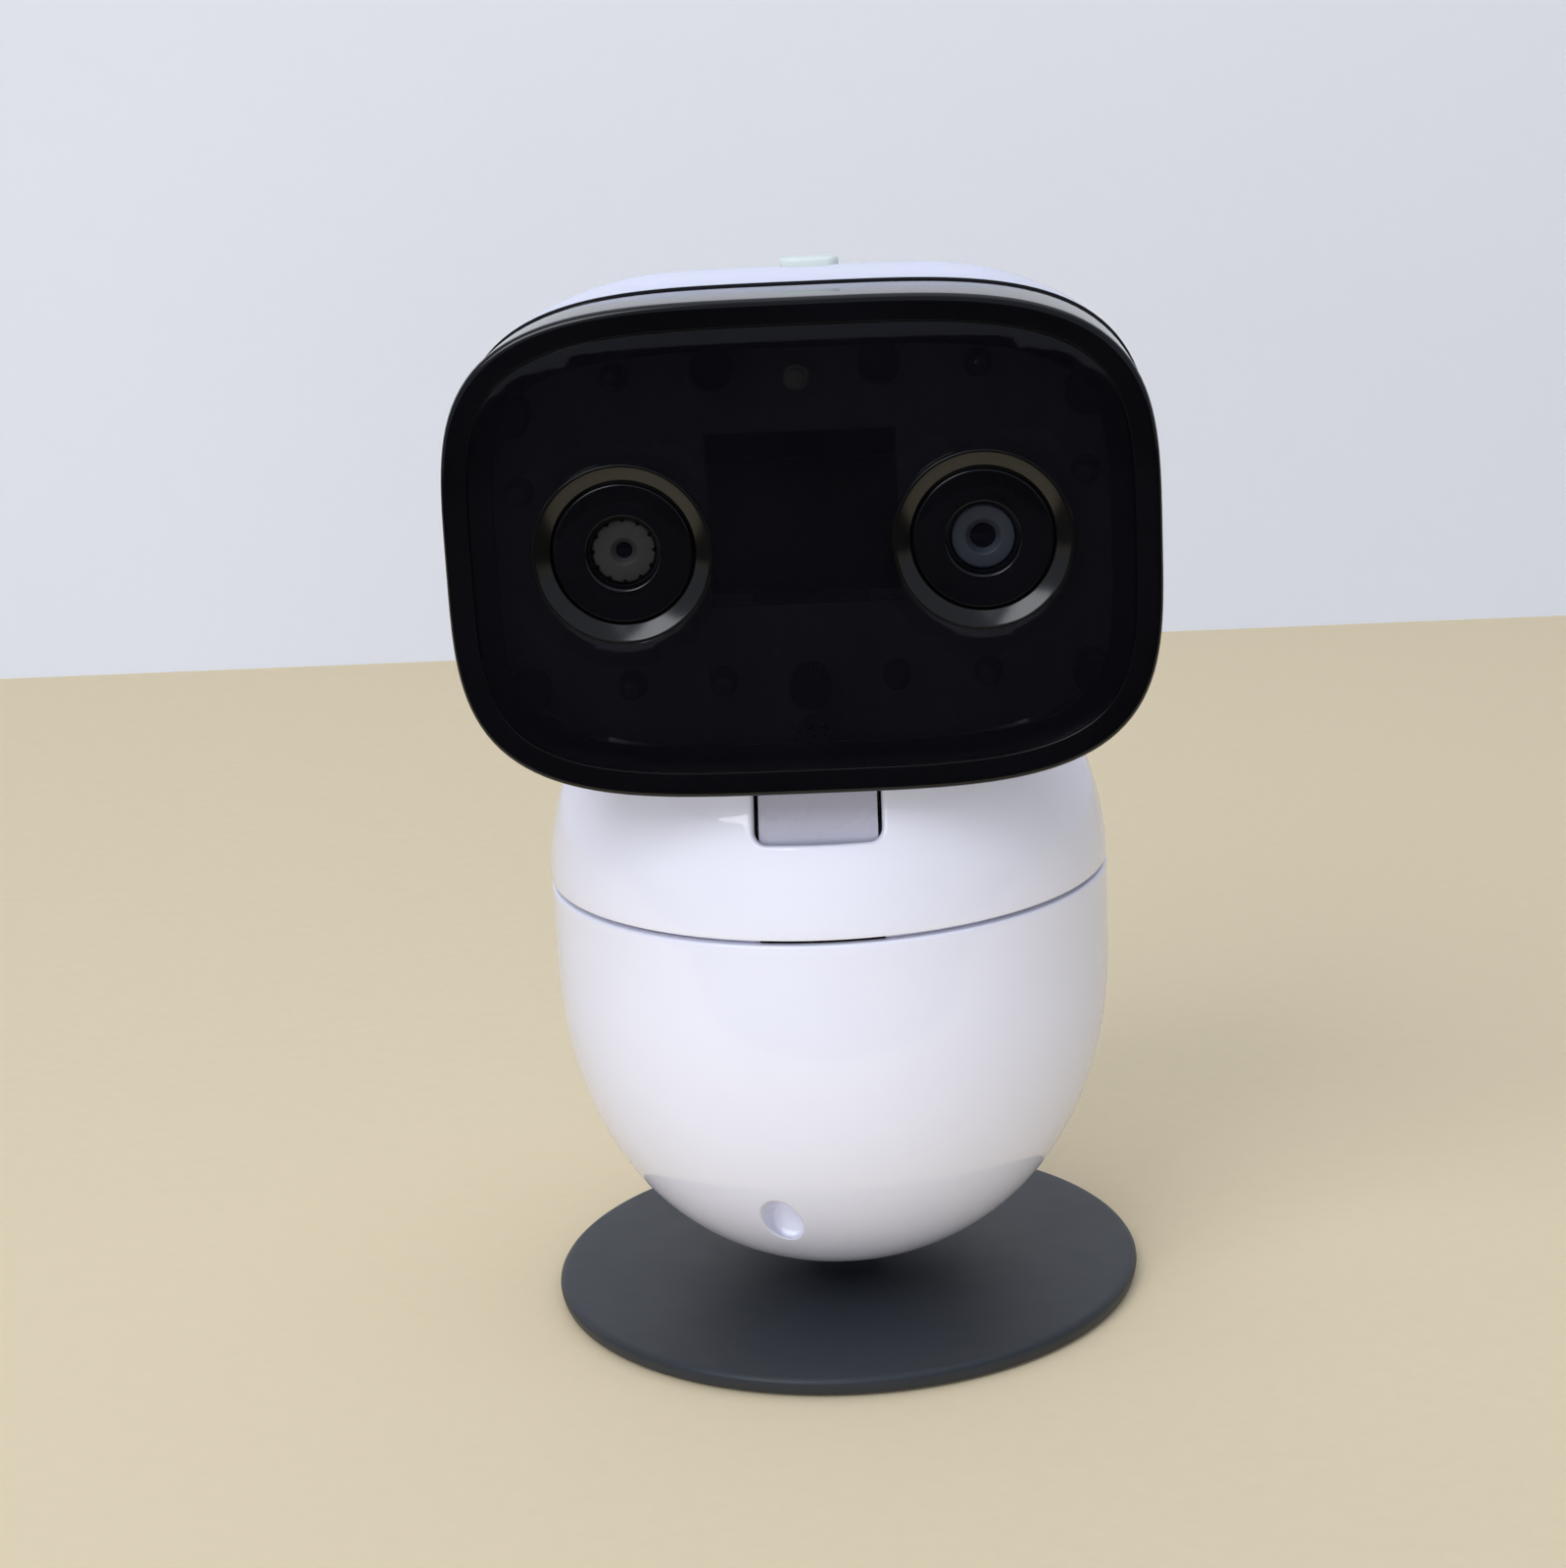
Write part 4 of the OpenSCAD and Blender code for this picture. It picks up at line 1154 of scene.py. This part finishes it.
def rear_housing():
    """White back shell: crowned top, rounded shoulders, domed rear, screw wells and small vents."""
    shape = Shape()
    sides = [(0, JOIN_Y + y) for y in (0.35, 1.1, 1.8, 2.5, 3.2, 3.9)]
    sides += [(a, SIDE_END) for a in range(0, 91, 6)]
    edge = head_outline(SIDE_INSET + SHOULDER)
    wells = [circle(x, z, 3.4, 40) for x, z in SCREW_AT]
    vents = [pill(4.5 * i, VENT_Z, 0.55, 0.57, 16) for i in range(-3, 4)]
    points, faces, sizes = fill([edge, *wells, *vents], 1.5)
    for deep in (0, SHELL_THICK):
        numbers = [shape.ring(rear_ring(a, y, deep)) for a, y in sides]
        cap = list(numbers[-1])
        cap += shape.ring([(x, rear_depth(x, z) - deep, HEAD_Z + z) for x, z in points[len(edge):]])
        for a, b in zip(numbers, numbers[1:]):
            shape.faces += bridge(a, b)
        shape.faces += [tuple(cap[k] for k in face) for face in faces]
    count = len(shape.verts) // 2
    front = [(k - count, k) for k in numbers[0]]
    through_hole(shape, front, 0.25, SHELL_THICK, Vector((0, -1, 0)))
    cap = [k - count for k in cap]
    first = sizes[0]
    for number, size in enumerate(sizes[1:]):
        ring = [(cap[k], cap[k] + count) for k in range(first, first + size)]
        if number < len(wells):
            screw_well(shape, ring, *SCREW_AT[number])
        else:
            through_hole(shape, ring, 0.12, SHELL_THICK)
        first += size
    piece = add_mesh("rear_housing", shape, FINISH["white_gloss"], 40)
    cut_away(piece, gap_cutter())
    cut_away(piece, box_cutter(-NECK_HALF - 0.4, NECK_HALF + 0.4, -33.5, 2.5, 60, 99.2))
    cut_away(piece, button_solid("button_cutter", [(0.35, -20), (0.35, 20)]))
    return settle(piece, "head", "white_gloss", "head_back_shell")


def screw_well(shape, ring, x, z):
    """Round well for a head screw, with the post that carries it inside the shell."""
    size = len(ring)

    def loop(radius, y):
        """Loop of the well at depth y, or on the rear face where y is None."""
        spots = circle(x, z, radius, size)
        return [(u, rear_depth(u, w) if y is None else y, HEAD_Z + w) for u, w in spots]

    floor = REAR_Y - 5.6
    deep = JOIN_Y + 0.15
    mouth, cut = 2.6, 0.3
    top = loop(mouth, None)
    rings = [loop(3.0, None), top]
    for s in range(1, 6):
        a = math.pi / 2 * s / 5
        pull = cut / mouth * math.sin(a)
        rings.append([(u + (x - u) * pull, y - cut * (1 - math.cos(a)), w + (HEAD_Z + z - w) * pull)
                      for u, y, w in top])
    rings += [loop(2.3, floor + 0.2), loop(2.25, floor), loop(1.25, floor), loop(1.2, floor - 0.1),
              loop(1.2, deep), loop(3.4, deep)]
    numbers = [[a for a, b in ring], *[shape.ring(r) for r in rings], [b for a, b in ring]]
    for a, b in zip(numbers, numbers[1:]):
        shape.faces += bridge(a, b)


BUTTON_X = round(middle("top_button").x, 1)
BUTTON_Y = round(middle("top_button").y, 1)
BUTTON_TOP = corners("top_button")[1].z


def button_ring(grow, z):
    """Pill-shaped loop round the top button, grown by grow."""
    return [(u, w, z) for u, w in pill(BUTTON_X, BUTTON_Y, 1.95, 1.85 + grow, 64)]


def button_solid(name, layers):
    """Solid of stacked pill loops: (grow, height from the shell's top) from below upwards."""
    shape = Shape()
    numbers = shape.loft([button_ring(grow, CROWN_TOP + z) for grow, z in layers], False)
    for end, upwards in ((numbers[0], False), (numbers[-1], True)):
        centre = sum((Vector(shape.verts[k]) for k in end), Vector()) / len(end)
        faces = bridge(end, shape.ring([centre]))
        shape.faces += faces if upwards else [tuple(reversed(f)) for f in faces]
    return add_mesh(name, shape, FINISH["button_white"])


def top_button():
    """Pill-shaped button with a rounded, slightly crowned top, a hidden flange and a stem."""
    rise = BUTTON_TOP - CROWN_TOP
    cut, bow = 0.5, 0.12
    turns = [math.pi / 2 * k / 6 for k in range(7)]
    edge = [(cut * (math.cos(a) - 1), rise - bow - cut * (1 - math.sin(a))) for a in turns]
    crown = [(-cut - 1.3 * t, rise - bow * (1 - t) ** 2) for t in (0.3, 0.6, 1.0)]
    layers = [(0.9, -3.4), (0.9, -2.1), (0.0, -2.1), *edge, *crown]
    piece = button_solid("top_button_cap", layers)
    stem = Shape()
    x, y = BUTTON_X, BUTTON_Y
    stem.revolve(soften([(0, HEAD_Z + 23.2, 0), (1.2, HEAD_Z + 23.2, 0.15), (1.2, CROWN_TOP - 3.3, 0),
                         (0, CROWN_TOP - 3.3, 0)], 3), 32, lambda u, v, h: (x + u, y + v, h))
    post = add_mesh("top_button_stem", stem, FINISH["button_white"])
    settle(piece, "button", "button_white", "top_button")
    settle(post, "button", "button_white")


def head_screws():
    """Four pan-head screws with cross recesses, down in the wells."""
    under, top = REAR_Y - 5.5, REAR_Y - 4.1
    for number, (x, z) in enumerate(SCREW_AT, 1):
        place = about_y(x, HEAD_Z + z)
        profile = soften([(0, top, 0), (1.5, top - 0.05, 0.3), (2.1, top - 0.75, 0.3), (2.1, under, 0.1),
                          (1.05, under, 0), (1.05, JOIN_Y - 3.6, 0), (0.2, JOIN_Y - 4, 0),
                          (0, JOIN_Y - 4, 0)], 4)
        shape = Shape()
        shape.revolve(profile, 48, place)
        screw = add_mesh(f"head_screw_{number}", shape, FINISH["steel"])
        for half_x, half_z in ((1.15, 0.22), (0.22, 1.15)):
            cut_away(screw, box_cutter(x - half_x, x + half_x, top - 0.7, top + 1,
                                       HEAD_Z + z - half_z, HEAD_Z + z + half_z))
        settle(screw, "head", "steel", "head_screws")


def light_sensor():
    """Pale ambient light sensor near the window's top edge."""
    shape = Shape()
    shape.revolve(soften([(0, FACE_Y + 4.0, 0), (1.1, FACE_Y + 4.0, 0.35), (1.1, FACE_Y + 5.1, 0),
                          (1.6, FACE_Y + 5.1, 0.1), (1.6, FACE_Y + 6.95, 0), (0, FACE_Y + 6.95, 0)], 4),
                  40, about_y(0, HEAD_Z + 20.9))
    sensor = add_mesh("ambient_light_sensor", shape, FINISH["sensor_pale"])
    settle(sensor, "head", "led_resin", "light_sensor")


# ---- build ------------------------------------------------------------------

make_camera()
make_world()
make_stage()
make_lights()

stand_disc()
foot()
lower_body()
upper_dome()
front_housing()
window_panel()
eye(-1, "left", 0.95, "barrel_dark", "dark_plastic", 12)
eye(1, "right", 1.5, "barrel_grey", "barrel_grey", 0)
infrared_lamps()
window_pillars()
light_sensor()
rear_housing()
head_screws()
top_button()

scene.view_settings.view_transform = "Standard"
